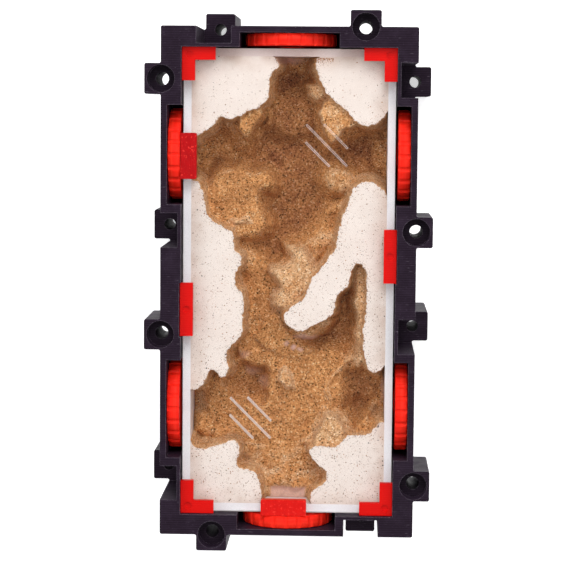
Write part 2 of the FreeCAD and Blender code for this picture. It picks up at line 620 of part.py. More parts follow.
def grown(points, closing, reach):
    """A bank's outline moved outwards by a distance. Its ends slide along the tray walls."""
    half_width, half_length = inner_half()
    area = ring_area(points + closing)
    moved = []
    for n, (x, y) in enumerate(points):
        (xa, ya), (xb, yb) = points[max(n - 1, 0)], points[min(n + 1, len(points) - 1)]
        outwards = math.copysign(reach / math.hypot(xb - xa, yb - ya), area)
        across, along = outwards * (yb - ya), outwards * (xa - xb)
        if abs(x) == half_width:
            across, along = 0, math.copysign(reach, along)
        elif abs(y) == half_length:
            across, along = math.copysign(reach, across), 0
        moved.append((x + across, y + along))
    return moved


def make_flank(number, points, closing):
    """Sand pressed on a bank's flank. It starts as the whole bank, grown by the sand's thickness."""
    low, high = value(SLAB_TOP), value(f"{BED_TOP} - sizes.flank_drop")
    wire = bank_wire(grown(points, closing, value("sizes.flank_thick")), closing, low)
    return feature(f"flank_{number}", Part.Face(wire).extrude(FreeCAD.Vector(0, 0, high - low)))


def make_ledge(name, side, end, drop, outline):
    """A crust of sand up to a set distance below the top of the plaster."""
    outline = in_tray(side, end, outline)
    return feature(f"ledge_{name}", frustum(outline, value(SLAB_TOP), outline, value(BED_TOP) - drop))


def make_sand(plaster):
    """Sand in the hollow: floor, shelves, ledges and flanks, less the pits, the dips and the plaster."""
    floor = ring_block("sand_floor", INNER_INSET, (SLAB_TOP, f"{SAND_TOP} + sizes.port_dip"))
    heaps = [make_shelf(*shelf) for shelf in SHELVES] + [make_ledge(*ledge) for ledge in LEDGES]
    flanks = [make_flank(number, *outline) for number, outline in enumerate(bank_outlines(), start=1)]
    dug = cut("dug_sand", fuse("sand_heaps", [floor] + heaps), [make_pit(*pit) for pit in PITS])
    inside = doc.addObject("Part::Common", "sand_in_tray")
    inside.Base = fuse("sand_and_flanks", [dug] + flanks)
    inside.Tool = ring_block("sand_limit", INNER_INSET, (SLAB_TOP, BED_TOP))
    return cut("sand_bed", inside, [make_dip(*port) for port in PORTS] + [plaster])


# ---------------------------------------------------------------- cover, clips and shutters


def make_cover():
    """The clear sheet on the tray, with two groups of three slanting vent slits."""
    plate = ring_block("cover_sheet", TRAY_INSET, (TRAY_TOP, COVER_TOP))
    slits = []
    for vent, sign in (("back", ""), ("front", "-")):
        for number, length in ((-1, "sizes.short_slit"), (0, "sizes.long_slit"), (1, "sizes.short_slit")):
            slit = doc.addObject("Part::Box", f"slit_{vent}_{number + 2}")
            bind(slit, Length=length, Width="sizes.slit_width", Height=f"sizes.cover_thick + 2 * {PAST}")
            aside = f"({number} * sizes.slit_pitch - sizes.slit_width / 2) * sin(45)"
            back = f"{length} / 2 * sin(45)"
            place(slit, f"{sign}sizes.vent_across - {back} + {aside}",
                  f"{sign}sizes.vent_along + {back} + {aside}", f"{TRAY_TOP} - {PAST}", about_z(-45))
            slits.append(slit)
    return cut("cover", plate, slits)


def dimple(name, turn, out, along):
    clip_top = f"{COVER_TOP} + sizes.clip_thick"
    return post(name, turn, out, along, (f"{clip_top} - sizes.dimple_depth", f"{clip_top} + {PAST}"),
                "sizes.dimple_radius")


def make_corner_clip(name, turn, wall, end):
    """An L of two legs in one corner of the frame, lying on the cover."""
    edge = "(sizes.frame_wall + sizes.clip_gap)"
    out, along = f"{wall} - {edge}", f"{end} - {edge}"
    z = (COVER_TOP, f"{COVER_TOP} + sizes.clip_thick")
    leg, width = "sizes.corner_clip_leg", "sizes.clip_width"
    legs = [
        block(f"leg_a_{name}", turn, (f"{out} - {leg}", out), (f"{along} - {width}", along), z),
        block(f"leg_b_{name}", turn, (f"{out} - {width}", out), (f"{along} - {leg}", along), z),
    ]
    mark = dimple(f"dimple_{name}", turn, f"{out} - sizes.dimple_inset", f"{along} - sizes.dimple_inset")
    return cut(name, fuse(f"legs_{name}", legs), [mark])


def make_side_clip(name, turn):
    """A straight clip whose outer edge sits in a shallow recess of the frame's wall."""
    edge = f"{HALF_WIDTH} - sizes.frame_wall + sizes.side_recess - sizes.side_recess_gap"
    strip = block(f"strip_{name}", turn, (f"{edge} - sizes.clip_width", edge),
                  around("sizes.side_clip_shift", "(sizes.side_clip_length / 2)"),
                  (COVER_TOP, f"{COVER_TOP} + sizes.clip_thick"))
    mark = dimple(f"dimple_{name}", turn, f"{edge} - sizes.clip_width / 2", "sizes.side_clip_shift")
    return cut(name, strip, [mark])


def make_shutter(port, turn, wall, along):
    """A blade that hangs between disc and tray, under a head that lies on the cover's edge."""
    blade_in = f"{wall} - {TRAY_INSET} + sizes.shutter_gap"
    blade_out = f"{blade_in} + sizes.shutter_thick"
    blade_base = f"{PORT_Z} - sizes.port_radius - sizes.shutter_lap"
    head_top = f"{COVER_TOP} + sizes.head_thick"
    middle = f"({along} + {SHUTTERED[port]})"
    head_sides = around(middle, "(sizes.head_length / 2)")
    blade = block(f"blade_{port}", turn, (blade_in, blade_out), around(middle, "(sizes.shutter_width / 2)"),
                  (blade_base, head_top))
    head = block(f"head_{port}", turn, (f"{blade_out} - sizes.head_width", blade_out), head_sides,
                 (COVER_TOP, head_top))
    core = fuse(f"shutter_core_{port}", [blade, head])
    doc.recompute()
    body = doc.addObject("PartDesign::Body", f"shutter_{port}")
    body.BaseFeature = core
    doc.recompute()
    corners = [spot(turn, f"{blade_out} - sizes.head_width", side) for side in head_sides]
    rounded(body, f"head_corners_{port}", corners, "sizes.head_round")
    return body


# ---------------------------------------------------------------- the whole habitat


def build():
    parts = [make_frame()]
    parts += [make_disc(*port) for port in PORTS]
    parts += make_tray()
    plaster = make_plaster()
    parts += [plaster, make_sand(plaster), make_cover()]
    for name, turn, wall, end in (
            ("right_back", 0, HALF_WIDTH, HALF_LENGTH), ("left_back", 90, HALF_LENGTH, HALF_WIDTH),
            ("left_front", 180, HALF_WIDTH, HALF_LENGTH), ("right_front", 270, HALF_LENGTH, HALF_WIDTH)):
        parts.append(make_corner_clip(f"corner_clip_{name}", turn, wall, end))
    parts += [make_side_clip("side_clip_right", 0), make_side_clip("side_clip_left", 180)]
    parts += [make_shutter(*port) for port in PORTS if port[0] in SHUTTERED]
    return parts


def check(parts):
    """Stops at any feature that failed and any sub-part that isn't one sound solid."""
    for thing in doc.Objects:
        if "Invalid" in thing.State or "Error" in thing.State:
            raise RuntimeError(f"{thing.Name} failed: {thing.State}")
    for part in parts:
        if part.Shape.isNull() or not part.Shape.isValid():
            raise RuntimeError(f"{part.Name} has no sound shape")


def export(parts):
    os.makedirs("parts", exist_ok=True)
    for part in parts:
        part.Label = part.Name
        part.Shape.exportStep(f"parts/{part.Name}.step")
        print(f"{part.Name}: {len(part.Shape.Solids)} solid, {part.Shape.Volume / 1000:.2f} cm3")


habitat = build()
doc.recompute()
check(habitat)
export(habitat)
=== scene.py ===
# %% [markdown]
# # Ant habitat module
# A printed black frame carries a glued tray of white sheet. In the tray lies a cast plaster nest whose
# hollow is lined with sand, and a clear cover with vent slits is clipped down on it. Red discs open
# and close the ports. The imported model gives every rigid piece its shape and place. This script dresses
# them, builds the plaster and the sand anew with their real relief, and sets up the camera and the light.

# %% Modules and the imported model
import json
import math

import bmesh
import bpy
import numpy as np
from mathutils import Matrix, Vector, noise
from mathutils.bvhtree import BVHTree
from mathutils.kdtree import KDTree

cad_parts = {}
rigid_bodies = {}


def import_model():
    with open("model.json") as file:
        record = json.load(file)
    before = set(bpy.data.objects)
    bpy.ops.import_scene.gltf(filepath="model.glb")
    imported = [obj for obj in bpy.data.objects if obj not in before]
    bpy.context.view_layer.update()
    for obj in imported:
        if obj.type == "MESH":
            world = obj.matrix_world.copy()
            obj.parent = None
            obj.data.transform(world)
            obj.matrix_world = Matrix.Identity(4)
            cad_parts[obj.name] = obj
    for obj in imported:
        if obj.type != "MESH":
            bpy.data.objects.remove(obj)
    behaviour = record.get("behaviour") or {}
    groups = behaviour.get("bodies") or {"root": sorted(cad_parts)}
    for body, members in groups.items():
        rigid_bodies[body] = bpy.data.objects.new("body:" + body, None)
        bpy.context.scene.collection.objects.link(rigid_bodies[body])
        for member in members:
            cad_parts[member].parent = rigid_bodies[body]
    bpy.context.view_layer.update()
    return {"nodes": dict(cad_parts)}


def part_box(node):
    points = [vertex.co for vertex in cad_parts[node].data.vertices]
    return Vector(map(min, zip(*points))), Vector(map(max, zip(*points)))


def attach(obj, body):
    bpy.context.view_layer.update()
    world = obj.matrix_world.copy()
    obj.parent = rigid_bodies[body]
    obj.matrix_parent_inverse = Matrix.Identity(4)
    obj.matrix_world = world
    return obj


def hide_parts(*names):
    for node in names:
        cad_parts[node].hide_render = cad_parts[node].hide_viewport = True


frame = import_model()
nodes = frame["nodes"]
MM = 0.001

# %% [markdown]
# ## Places taken from the model
# The new plaster and sand have to fill exactly the tray that the model holds, so their limits are read
# from the model and not written again. All later cells work in millimetres and turn to metres at the
# end, because the real pieces are measured in millimetres.

# %% Places
def limits(node):
    """Lowest and highest corner of a node, in millimetres."""
    low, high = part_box(node)
    return np.array(low) / MM, np.array(high) / MM


bed_low, bed_high = limits("plaster_bed")
cover_low, cover_high = limits("cover")
HALF_WIDTH, HALF_LENGTH, RIM = (float(side) for side in bed_high)
SLAB_BASE, SAND_BASE = float(bed_low[2]), float(limits("sand_bed")[0][2])
COVER_BASE, COVER_TOP = float(cover_low[2]), float(cover_high[2])
print(f"hollow {2 * HALF_WIDTH:.0f} x {2 * HALF_LENGTH:.0f} mm, slab top {SAND_BASE:.0f}, rim {RIM:.1f}")

# %% [markdown]
# ## Small helpers for materials
# Every finish below is a node tree. One helper turns the sRGB colours that a person picks into the
# linear values a shader wants. One more adds a node, sets its properties and plugs in its inputs, so
# that a finish reads from top to bottom like a recipe. Most finishes are a base colour with several
# coats over it, such as stain, dust or wear, each let through by a mask of its own, and a loop lays
# them.

# %% Helpers for materials
FACTOR, FIRST, SECOND = 0, 6, 7


def linear(code):
    """An sRGB hex colour as the linear red, green, blue and alpha of a shader."""
    parts = [int(code[place:place + 2], 16) / 255 for place in (1, 3, 5)]
    return [c / 12.92 if c <= 0.04045 else ((c + 0.055) / 1.055) ** 2.4 for c in parts] + [1.0]


def add(tree, kind, inputs=None, stops=(), **settings):
    """Adds a node. An input is a value, a hex colour, a socket, or a node for its first output."""
    made = tree.nodes.new("ShaderNode" + kind)
    for name, setting in settings.items():
        setattr(made, name, setting)
    for number, (position, colour) in enumerate(stops):
        steps = made.color_ramp.elements
        step = steps[number] if number < 2 else steps.new(position)
        step.position = position
        step.color = linear(colour) if isinstance(colour, str) else [colour] * 3 + [1.0]
    for name, source in (inputs or {}).items():
        if isinstance(source, bpy.types.Node):
            source = next(output for output in source.outputs if output.enabled)
        if isinstance(source, bpy.types.NodeSocket):
            tree.links.new(source, made.inputs[name])
        else:
            made.inputs[name].default_value = linear(source) if isinstance(source, str) else source
    return made


def coated(tree, base, *coats):
    """Lays coats over a base colour, one after the other, each through its own mask."""
    for mask, colour in coats:
        base = add(tree, "Mix", {FACTOR: mask, FIRST: base, SECOND: colour}, data_type="RGBA")
    return base


print(f"a colour Mix node takes its mask at input {FACTOR} and its colours at {FIRST} and {SECOND}")

# %% [markdown]
# ## Scales and empty finishes
# A pattern is scaled per metre of the object, while a maker thinks in millimetres. So one function
# works out the scale of lines at a given pitch, and one that of grains of a given size. Two more start
# an empty finish and give a finish to pieces of the model.

# %% Scales and empty finishes
def new_finish(name):
    """An empty material and its node tree."""
    finish = bpy.data.materials.new(name)
    finish.use_nodes = True
    finish.node_tree.nodes.clear()
    return finish, finish.node_tree


def band_scale(pitch_mm):
    """Scale of a wave texture whose bands repeat at this pitch, in an object measured in metres."""
    return 2 * math.pi / (20 * pitch_mm * MM)


def grain_scale(size_mm):
    """Scale of a noise or cell texture whose grains are about this size."""
    return 1 / (size_mm * MM)


def dress(finish, names):
    """Gives model nodes a finish."""
    for name in names:
        nodes[name].data.materials.clear()
        nodes[name].data.materials.append(finish)


print(f"lines 1 mm apart need scale {band_scale(1):.0f}, grains of 1 mm need {grain_scale(1):.0f}")

# %% [markdown]
# ## Painted edge highlights and scuffs of a print
# The edges of a black print get a painted highlight, a thin pale line where a rounded edge would catch
# the light. Handling scratches its faces, and scuffed plastic looks grey. The Bevel node gives the
# direction that a face would have if its edges were rounded. Where that differs from the true direction
# there is an edge, so no edge has to be marked by hand. Noise breaks the line up, and noise stretched
# along X adds the short scuffs.

# %% Painted edge highlights and scuffs
EDGE_HIGHLIGHT_WIDE, SCUFF = 0.35, 0.5


def edge_highlight_and_scuffs(tree, place, grit):
    """A mask of painted highlights along the edges and of short scuffs along X, where a black print turns
    grey.
    """
    rounded = add(tree, "Bevel", {"Radius": EDGE_HIGHLIGHT_WIDE * MM}, samples=4)
    sharp = add(tree, "NewGeometry").outputs["True Normal"]
    agreement = add(tree, "VectorMath", {0: rounded, 1: sharp}, operation="DOT_PRODUCT")
    edge = add(tree, "ValToRGB", {0: agreement}, stops=((0.7, 1.0), (0.96, 0.0)))
    patchy = add(tree, "ValToRGB", {0: grit}, stops=((0.3, 0.1), (0.65, 0.8)))
    broken = add(tree, "Math", {0: edge, 1: patchy}, operation="MULTIPLY")
    stretched = add(tree, "Mapping", {"Vector": place, "Scale": (0.12, 1.0, 1.0)})
    streaks = add(tree, "TexNoise", {"Vector": stretched, "Scale": grain_scale(SCUFF), "Detail": 3.0,
                                     "Roughness": 0.6})
    scuffs = add(tree, "ValToRGB", {0: streaks}, stops=((0.66, 0.0), (0.8, 0.6)))
    return add(tree, "Math", {0: broken, 1: scuffs}, operation="MAXIMUM")


# the width of the painted highlight along the edges
print(f"edges rub over {EDGE_HIGHLIGHT_WIDE} mm")

# %% [markdown]
# ## Printed plastic
# The frame, the discs and the clips are PLA, laid down by a hot nozzle in layers 0.2 mm thick. Seen
# from the side this leaves fine level lines, and on top it leaves the parallel lines of the last
# layer's filling. PLA is a clean, slightly waxy plastic: its IOR is 1.46 and its roughness about 0.5.
# Now and then a layer sits a little proud of the others and shows as a paler line round the whole
# piece. Lines of 0.2 mm would be lost between two pixels, so they are drawn 0.45 mm apart on the sides
# and 0.9 mm apart on top. Bands of a wave texture are the direct way to draw them, and because they go
# into the bump they react to the light as the real ridges do.

# %% Printed plastic
LAYER_DRAWN, LINE_DRAWN = 0.45, 0.9
PROUD_LAYER, BLOTCH, GRIT = 1.3, 6.0, 0.6
LAYER_RELIEF = 0.03


def printed_plastic(name, colour, worn, stacked="Z", roughness=0.5, edges=None):
    """PLA printed in layers stacked along one axis, with lighter scuffs where it has been handled, and,
    given an edge colour, a painted highlight along its edges.
    """
    finish, tree = new_finish(name)
    place = add(tree, "TexCoord").outputs["Object"]
    layers = add(tree, "TexWave", {"Vector": place, "Scale": band_scale(LAYER_DRAWN), "Distortion": 0.6,
                                   "Detail": 1.0, "Detail Scale": 2.0}, bands_direction=stacked)
    lines = add(tree, "TexWave", {"Vector": place, "Scale": band_scale(LINE_DRAWN), "Distortion": 0.8,
                                  "Detail": 1.0, "Detail Scale": 3.0},
                bands_direction="Y" if stacked == "Z" else "Z")
    normal = add(tree, "NewGeometry").outputs["True Normal"]
    facing = add(tree, "SeparateXYZ", {0: normal}).outputs[stacked]
    facing = add(tree, "Math", {0: facing}, operation="ABSOLUTE")
    level = add(tree, "Math", {0: facing, 1: 0.7}, operation="GREATER_THAN")
    upright = add(tree, "Math", {0: 1.0, 1: level}, operation="SUBTRACT")
    ridges = add(tree, "Mix", {FACTOR: level, FIRST: layers, SECOND: lines}, data_type="RGBA")
    squashed = [1.0 if axis == stacked else 0.012 for axis in "XYZ"]
    squashed = add(tree, "Mapping", {"Vector": place, "Scale": squashed})
    proud = add(tree, "TexNoise", {"Vector": squashed, "Scale": grain_scale(PROUD_LAYER), "Detail": 2.0,
                                   "Roughness": 0.7})
    proud = add(tree, "ValToRGB", {0: proud}, stops=((0.46, 0.0), (0.66, 1.0)))
    proud = add(tree, "Math", {0: upright, 1: proud}, operation="MULTIPLY")
    blotches = add(tree, "TexNoise", {"Vector": place, "Scale": grain_scale(BLOTCH), "Detail": 6.0,
                                      "Roughness": 0.65})
    grit = add(tree, "TexNoise", {"Vector": place, "Scale": grain_scale(GRIT), "Detail": 3.0})
    tint = coated(tree, colour,
                  (add(tree, "ValToRGB", {0: ridges}, stops=((0.0, 0.0), (1.0, 0.22))), worn),
                  (add(tree, "Math", {0: proud, 1: 0.45}, operation="MULTIPLY"), worn),
                  (add(tree, "ValToRGB", {0: blotches}, stops=((0.45, 0.0), (0.75, 0.25))), worn),
                  (add(tree, "ValToRGB", {0: grit}, stops=((0.62, 0.0), (0.74, 0.5))), worn))
    # edges: the colour of the painted edge highlight and of the scuffs
    if edges:
        tint = coated(tree, tint, (edge_highlight_and_scuffs(tree, place, grit), edges))
    gritty = add(tree, "Mix", {FACTOR: 0.25, FIRST: ridges, SECOND: grit}, data_type="RGBA")
    height = add(tree, "Math", {0: gritty, 1: proud}, operation="ADD")
    bump = add(tree, "Bump", {"Height": height, "Strength": 1.0, "Distance": LAYER_RELIEF * MM})
    rough = add(tree, "ValToRGB", {0: blotches}, stops=((0.3, roughness - 0.08), (0.7, roughness + 0.1)))
    shader = add(tree, "BsdfPrincipled", {"Base Color": tint, "Roughness": rough, "IOR": 1.46,
                                          "Specular IOR Level": 0.14, "Normal": bump})
    add(tree, "OutputMaterial", {"Surface": shader})
    return finish


print(f"layers drawn {LAYER_DRAWN} mm apart, level lines {LINE_DRAWN} mm apart")

# %% [markdown]
# ## The printed pieces
# The frame is black and was printed upright. The clips are a deep red and the discs a brighter one. A
# disc was printed lying on its face, so its layers are stacked along its own axis, which is the thin
# side of its box. That is read from the model for each disc.

# %% The printed pieces
# The frame's pale grey edge colour is a painted highlight along its edges, together with real scuffs.
black_print = printed_plastic("black_printed_pla", "#1e141f", "#423546", edges="#958b98")
red_clip_print = printed_plastic("red_printed_pla", "#d20504", "#de2016", roughness=0.42)
red_disc_prints = {}
for axis, way in (("X", "across"), ("Y", "along")):
    red_disc_prints[axis] = printed_plastic(f"red_disc_pla_{way}", "#f01c10", "#fa3d28", stacked=axis,
                                            roughness=0.4)
clips = [name for name in nodes if "clip" in name]
discs = [name for name in nodes if name.startswith("disc_")]
dress(black_print, ["frame"])
dress(red_clip_print, clips)
for name in discs:
    low, high = limits(name)
    dress(red_disc_prints["X" if high[0] - low[0] < high[1] - low[1] else "Y"], [name])
print(f"printed plastic on the frame, {len(clips)} clips and {len(discs)} discs")

# %% [markdown]
# ## Softened edges
# A nozzle can't draw a perfectly sharp edge, so real printed edges are rounded by a few tenths of a
# millimetre and catch a thin line of light. The model's edges are sharp. A Bevel modifier that only
# works on steep angles adds that rounding when the picture is made and leaves the mesh itself alone.
# The imported mesh has split corners, so a Weld modifier joins them first.

# %% Softened edges
def soften(name, width_mm):
    """Rounds a model node's steep edges when the picture is made."""
    piece = nodes[name]
    weld = piece.modifiers.new("joined_corners", "WELD")
    weld.merge_threshold = 0.002 * MM
    bevel = piece.modifiers.new("soft_edges", "BEVEL")
    bevel.width = width_mm * MM
    bevel.segments = 2
    bevel.limit_method = "ANGLE"
    bevel.angle_limit = math.radians(50)
    bevel.harden_normals = False


for name in ["frame"] + clips + discs:
    soften(name, 0.25)
print("edges softened")

# %% [markdown]
# ## Shutters
# Each shutter is printed in a clear red PETG with glitter in it, so it is deeper in colour than the
# clips and has bright points, and the one at the left back is a darker red than the front one. PETG has
# an IOR of 1.57 and a glossier skin than PLA. The glitter flakes are about 0.3 mm wide and are drawn as
# 0.55 mm, so that they show. Cells of that size with a random value each are the natural way to pick a
# few of them out as flakes.

# %% Shutters
FLAKE_DRAWN, CLOUDY = 0.55, 3.0


def glitter_plastic(name, dark, bright):
    """Clear PETG of two near reds with bright flakes, drawn in level lines."""
    finish, tree = new_finish(name)
    place = add(tree, "TexCoord").outputs["Object"]
    cells = add(tree, "TexVoronoi", {"Vector": place, "Scale": grain_scale(FLAKE_DRAWN)})
    chance = add(tree, "SeparateColor", {0: cells.outputs["Color"]})
    flakes = add(tree, "ValToRGB", {0: chance}, stops=((0.88, 0.0), (1.0, 0.7)))
    cloud = add(tree, "TexNoise", {"Vector": place, "Scale": grain_scale(CLOUDY), "Detail": 4.0})
    tint = coated(tree, dark, (cloud, bright), (flakes, "#ee3a30"))
    ridges = add(tree, "TexWave", {"Vector": place, "Scale": band_scale(LINE_DRAWN), "Distortion": 1.0},
                 bands_direction="X")
    bump = add(tree, "Bump", {"Height": ridges, "Strength": 1.0, "Distance": LAYER_RELIEF * MM})
    shader = add(tree, "BsdfPrincipled", {"Base Color": tint, "Roughness": 0.3, "IOR": 1.57,
                                          "Specular IOR Level": 0.15, "Normal": bump})
    add(tree, "OutputMaterial", {"Surface": shader})
    return finish


shutters = {
    "shutter_left_back": glitter_plastic("dark_glitter_petg", "#9c0004", "#be000a"),
    "shutter_front": glitter_plastic("bright_glitter_petg", "#c00a08", "#e6140c"),
}
for name, finish in shutters.items():
    dress(finish, [name])
    soften(name, 0.2)
print(f"{len(shutters)} shutters in glitter PETG")

# %% [markdown]
# ## Tray sheet
# The tray is cut from 3 mm white foamed PVC and glued. Its faces are satin and its sawn top edges show
# fine closed cells, a little greyer than the face. A faint cell texture and a low bump are enough. The
# back wall's sheet gets the same finish in darker, warmer colours: painted shade, where the frame's
# back wall keeps the light from behind off it.

# %% Tray sheet
FOAM_CELL, FOAM_CLOUD, FOAM_RELIEF = 0.7, 14.0, 0.03


def foamed_sheet(name, clean, closed):
    """Foamed PVC with a clean colour and the colour of its closed cells."""
    finish, tree = new_finish(name)
    place = add(tree, "TexCoord").outputs["Object"]
    foam = add(tree, "TexNoise", {"Vector": place, "Scale": grain_scale(FOAM_CELL), "Detail": 4.0,
                                  "Roughness": 0.7})
    cloud = add(tree, "TexNoise", {"Vector": place, "Scale": grain_scale(FOAM_CLOUD), "Detail": 2.0})
    tint = coated(tree, clean,
                  (add(tree, "ValToRGB", {0: foam}, stops=((0.35, 0.0), (0.75, 1.0))), closed),
                  (add(tree, "ValToRGB", {0: cloud}, stops=((0.4, 0.0), (0.8, 0.35))), "#efe6e6"))
    bump = add(tree, "Bump", {"Height": foam, "Strength": 0.6, "Distance": FOAM_RELIEF * MM})
    shader = add(tree, "BsdfPrincipled", {"Base Color": tint, "Roughness": 0.38, "IOR": 1.5,
                                          "Normal": bump})
    add(tree, "OutputMaterial", {"Surface": shader})
    return finish


tray_sheets = [name for name in nodes if name.startswith("tray_")]
dress(foamed_sheet("white_foamed_pvc", "#eceaec", "#e2dfe2"), tray_sheets)
# The back wall's sheet is painted darker and warmer: painted shade from the frame's back wall.
dress(foamed_sheet("back_wall_painted_shade_pvc", "#d8c2bb", "#ceb6ae"), ["tray_wall_back"])
print(f"{len(tray_sheets)} tray sheets")

# %% [markdown]
# ## Clear cover
# The cover is 3 mm cast acrylic, cut by laser. Its faces stay polished, with an IOR of 1.49. Its cut
# edges and the walls of its vent slits are matt and look whitish, and half of the light still passes
# them. So it gets two materials: glass on the faces and a half clear frost on the cut walls. Rays from
# the lamps and from the plaster below pass straight through the glass, because a renderer would
# otherwise lose that light in a dark, noisy shadow.

# %% Clear cover
CUT_MARK = 0.8
UPRIGHT = 0.5


def clear_acrylic():
    """Glass that lets shadow rays and diffuse rays straight through."""
    finish, tree = new_finish("clear_cast_acrylic")
    glass = add(tree, "BsdfPrincipled", {"Base Color": "#fbfbfc", "Roughness": 0.0, "IOR": 1.49,
                                         "Transmission Weight": 1.0})
    through = add(tree, "BsdfTransparent", {"Color": "#ffffff"})
    ray = add(tree, "LightPath").outputs
    passing = add(tree, "Math", {0: ray["Is Shadow Ray"], 1: ray["Is Diffuse Ray"]}, operation="MAXIMUM")
    chosen = add(tree, "MixShader", {0: passing, 1: glass, 2: through})
    add(tree, "OutputMaterial", {"Surface": chosen})
    return finish


def cut_acrylic():
    """A whitish frost that lets half of the light through."""
    finish, tree = new_finish("laser_cut_acrylic_edge")
    place = add(tree, "TexCoord").outputs["Object"]
    marks = add(tree, "TexNoise", {"Vector": place, "Scale": grain_scale(CUT_MARK), "Detail": 3.0})
    frosted = add(tree, "BsdfPrincipled", {"Base Color": coated(tree, "#e6dddc", (marks, "#ffffff")),
                                           "Roughness": 0.45, "IOR": 1.49})
    clear = add(tree, "BsdfTransparent", {"Color": "#ffffff"})
    half = add(tree, "MixShader", {0: 0.5, 1: clear, 2: frosted})
    add(tree, "OutputMaterial", {"Surface": half})
    return finish


dress(clear_acrylic(), ["cover"])
cover_mesh = nodes["cover"].data
cover_mesh.materials.append(cut_acrylic())
cut_faces = [face for face in cover_mesh.polygons if abs(face.normal.z) < UPRIGHT]
for face in cut_faces:
    face.material_index = 1
print(f"cover dressed, {len(cut_faces)} cut faces frosted")

# %% [markdown]
# ## Outlines read from the model
# The slits' mouths and the plaster's banks can be read from flat faces of the model at a known height.
# An edge whose way back belongs to no face lies on the outline, and following such edges from point to
# point gives closed loops. So the new pieces start exactly where the model has the old ones.

# %% Outlines read from the model
SAME_LEVEL = 0.01


def open_edges(rings):
    """The edges of some rings of points whose way back is in none of them, in the rings' order."""
    pairs = dict.fromkeys(pair for ring in rings for pair in zip(ring, ring[1:] + ring[:1]))
    return [pair for pair in pairs if pair[::-1] not in pairs]


def top_outlines(node, height):
    """The closed outlines of a node's flat faces at one height, in millimetres."""
    mesh = nodes[node].data
    spots = [(round(v.co.x / MM, 3), round(v.co.y / MM, 3), v.co.z / MM) for v in mesh.vertices]
    rings = [[spots[v][:2] for v in face.vertices] for face in mesh.polygons
             if all(abs(spots[v][2] - height) < SAME_LEVEL for v in face.vertices)]
    following = dict(open_edges(rings))
    loops = []
    while following:
        start, point = next(iter(following.items()))
        del following[start]
        loop = [start]
        while point != start:
            loop.append(point)
            point = following.pop(point)
        loops.append(loop)
    return loops


mouths = top_outlines("cover", COVER_TOP)
print(f"the cover's top has {len(mouths)} outlines, its rim and the slits among them")

# %% [markdown]
# ## Helpers for new pieces
# The slits' rims and the plaster are stacks of rings of points with faces between them. A bmesh is the
# natural place to build them, because it takes points and faces one by one. Two helpers make the rings
# and join them, one turns the finished bmesh into a mesh, and one puts a mesh, a lamp or the camera in
# the scene.

# %% Helpers for new pieces
def join_rings(work, made):
    """Faces between each ring of points and the next one."""
    for lower, upper in zip(made, made[1:]):
        for n in range(len(lower)):
            m = (n + 1) % len(lower)
            work.faces.new((lower[n], lower[m], upper[m], upper[n]))


def points_of(work, rings):
    """New points for rings in millimetres, each given with its height."""
    return [[work.verts.new((x * MM, y * MM, z * MM)) for x, y in ring] for ring, z in rings]


def mesh_from(work, name):
    """Turns a bmesh into a mesh whose faces all look outwards."""
    bmesh.ops.recalc_face_normals(work, faces=work.faces)
    mesh = bpy.data.meshes.new(name)
    work.to_mesh(mesh)
    work.free()
    return mesh


def show(name, data):
    """Puts a mesh, a lamp or a camera in the scene."""
    made = bpy.data.objects.new(name, data)
    bpy.context.scene.collection.objects.link(made)
    return made


print(f"{len(bpy.context.scene.collection.all_objects)} objects before the first new piece")

# %% [markdown]
# ## Melted rims of the vent slits
# The laser melts the edge of each slit, and the melt sets as a narrow milky rim on both faces. That rim
# is what shows from above, because the slit itself is only half a millimetre wide. Each rim is a flat
# closed band that follows the slit's own outline, read from the cover's top face.

# %% Slit rims
RIM_WIDE, RIM_HIGH = 0.09, 0.05
RIM_TOP_WIDE = 0.8 * RIM_WIDE
RIM_CLEAR = 0.01
SLIT_ZONE = 0.9 * HALF_WIDTH
UNEVEN = 1.2


def grown(corners, distance):
    """A rectangle's corners moved outwards on both sides by a distance."""
    middle = np.mean(corners, axis=0)
    first, second = np.subtract(corners[1], corners[0]), np.subtract(corners[2], corners[1])
    along, across = first / np.linalg.norm(first), second / np.linalg.norm(second)
    reach = [np.linalg.norm(side) / 2 + distance for side in (first, second)]
    signs = ((-1, -1), (1, -1), (1, 1), (-1, 1))
    return [tuple(middle + a * reach[0] * along + b * reach[1] * across) for a, b in signs]


def rim_band(work, corners, base, top):
    """A closed band round a slit, from the slit's edge outwards."""
    rings = [(grown(corners, distance), z) for distance, z in
             ((0.0, base), (RIM_WIDE, base), (RIM_TOP_WIDE, top), (0.0, top))]
    made = points_of(work, rings)
    join_rings(work, made + made[:1])


def milky_melt():
    """Acrylic that has melted and set again: milky in places, half clear in others."""
    finish, tree = new_finish("melted_acrylic_rim")
    place = add(tree, "TexCoord").outputs["Object"]
    uneven = add(tree, "TexNoise", {"Vector": place, "Scale": grain_scale(UNEVEN), "Detail": 3.0})
    melt = add(tree, "BsdfPrincipled", {"Base Color": coated(tree, "#f6ecea", (uneven, "#ffffff")),
                                        "Roughness": 0.3, "IOR": 1.49})
    clear = add(tree, "BsdfTransparent", {"Color": "#ffffff"})
    veil = add(tree, "ValToRGB", {0: uneven}, stops=((0.35, 0.45), (0.6, 1.0)))
    film = add(tree, "MixShader", {0: veil, 1: clear, 2: melt})
    add(tree, "OutputMaterial", {"Surface": film})
    return finish


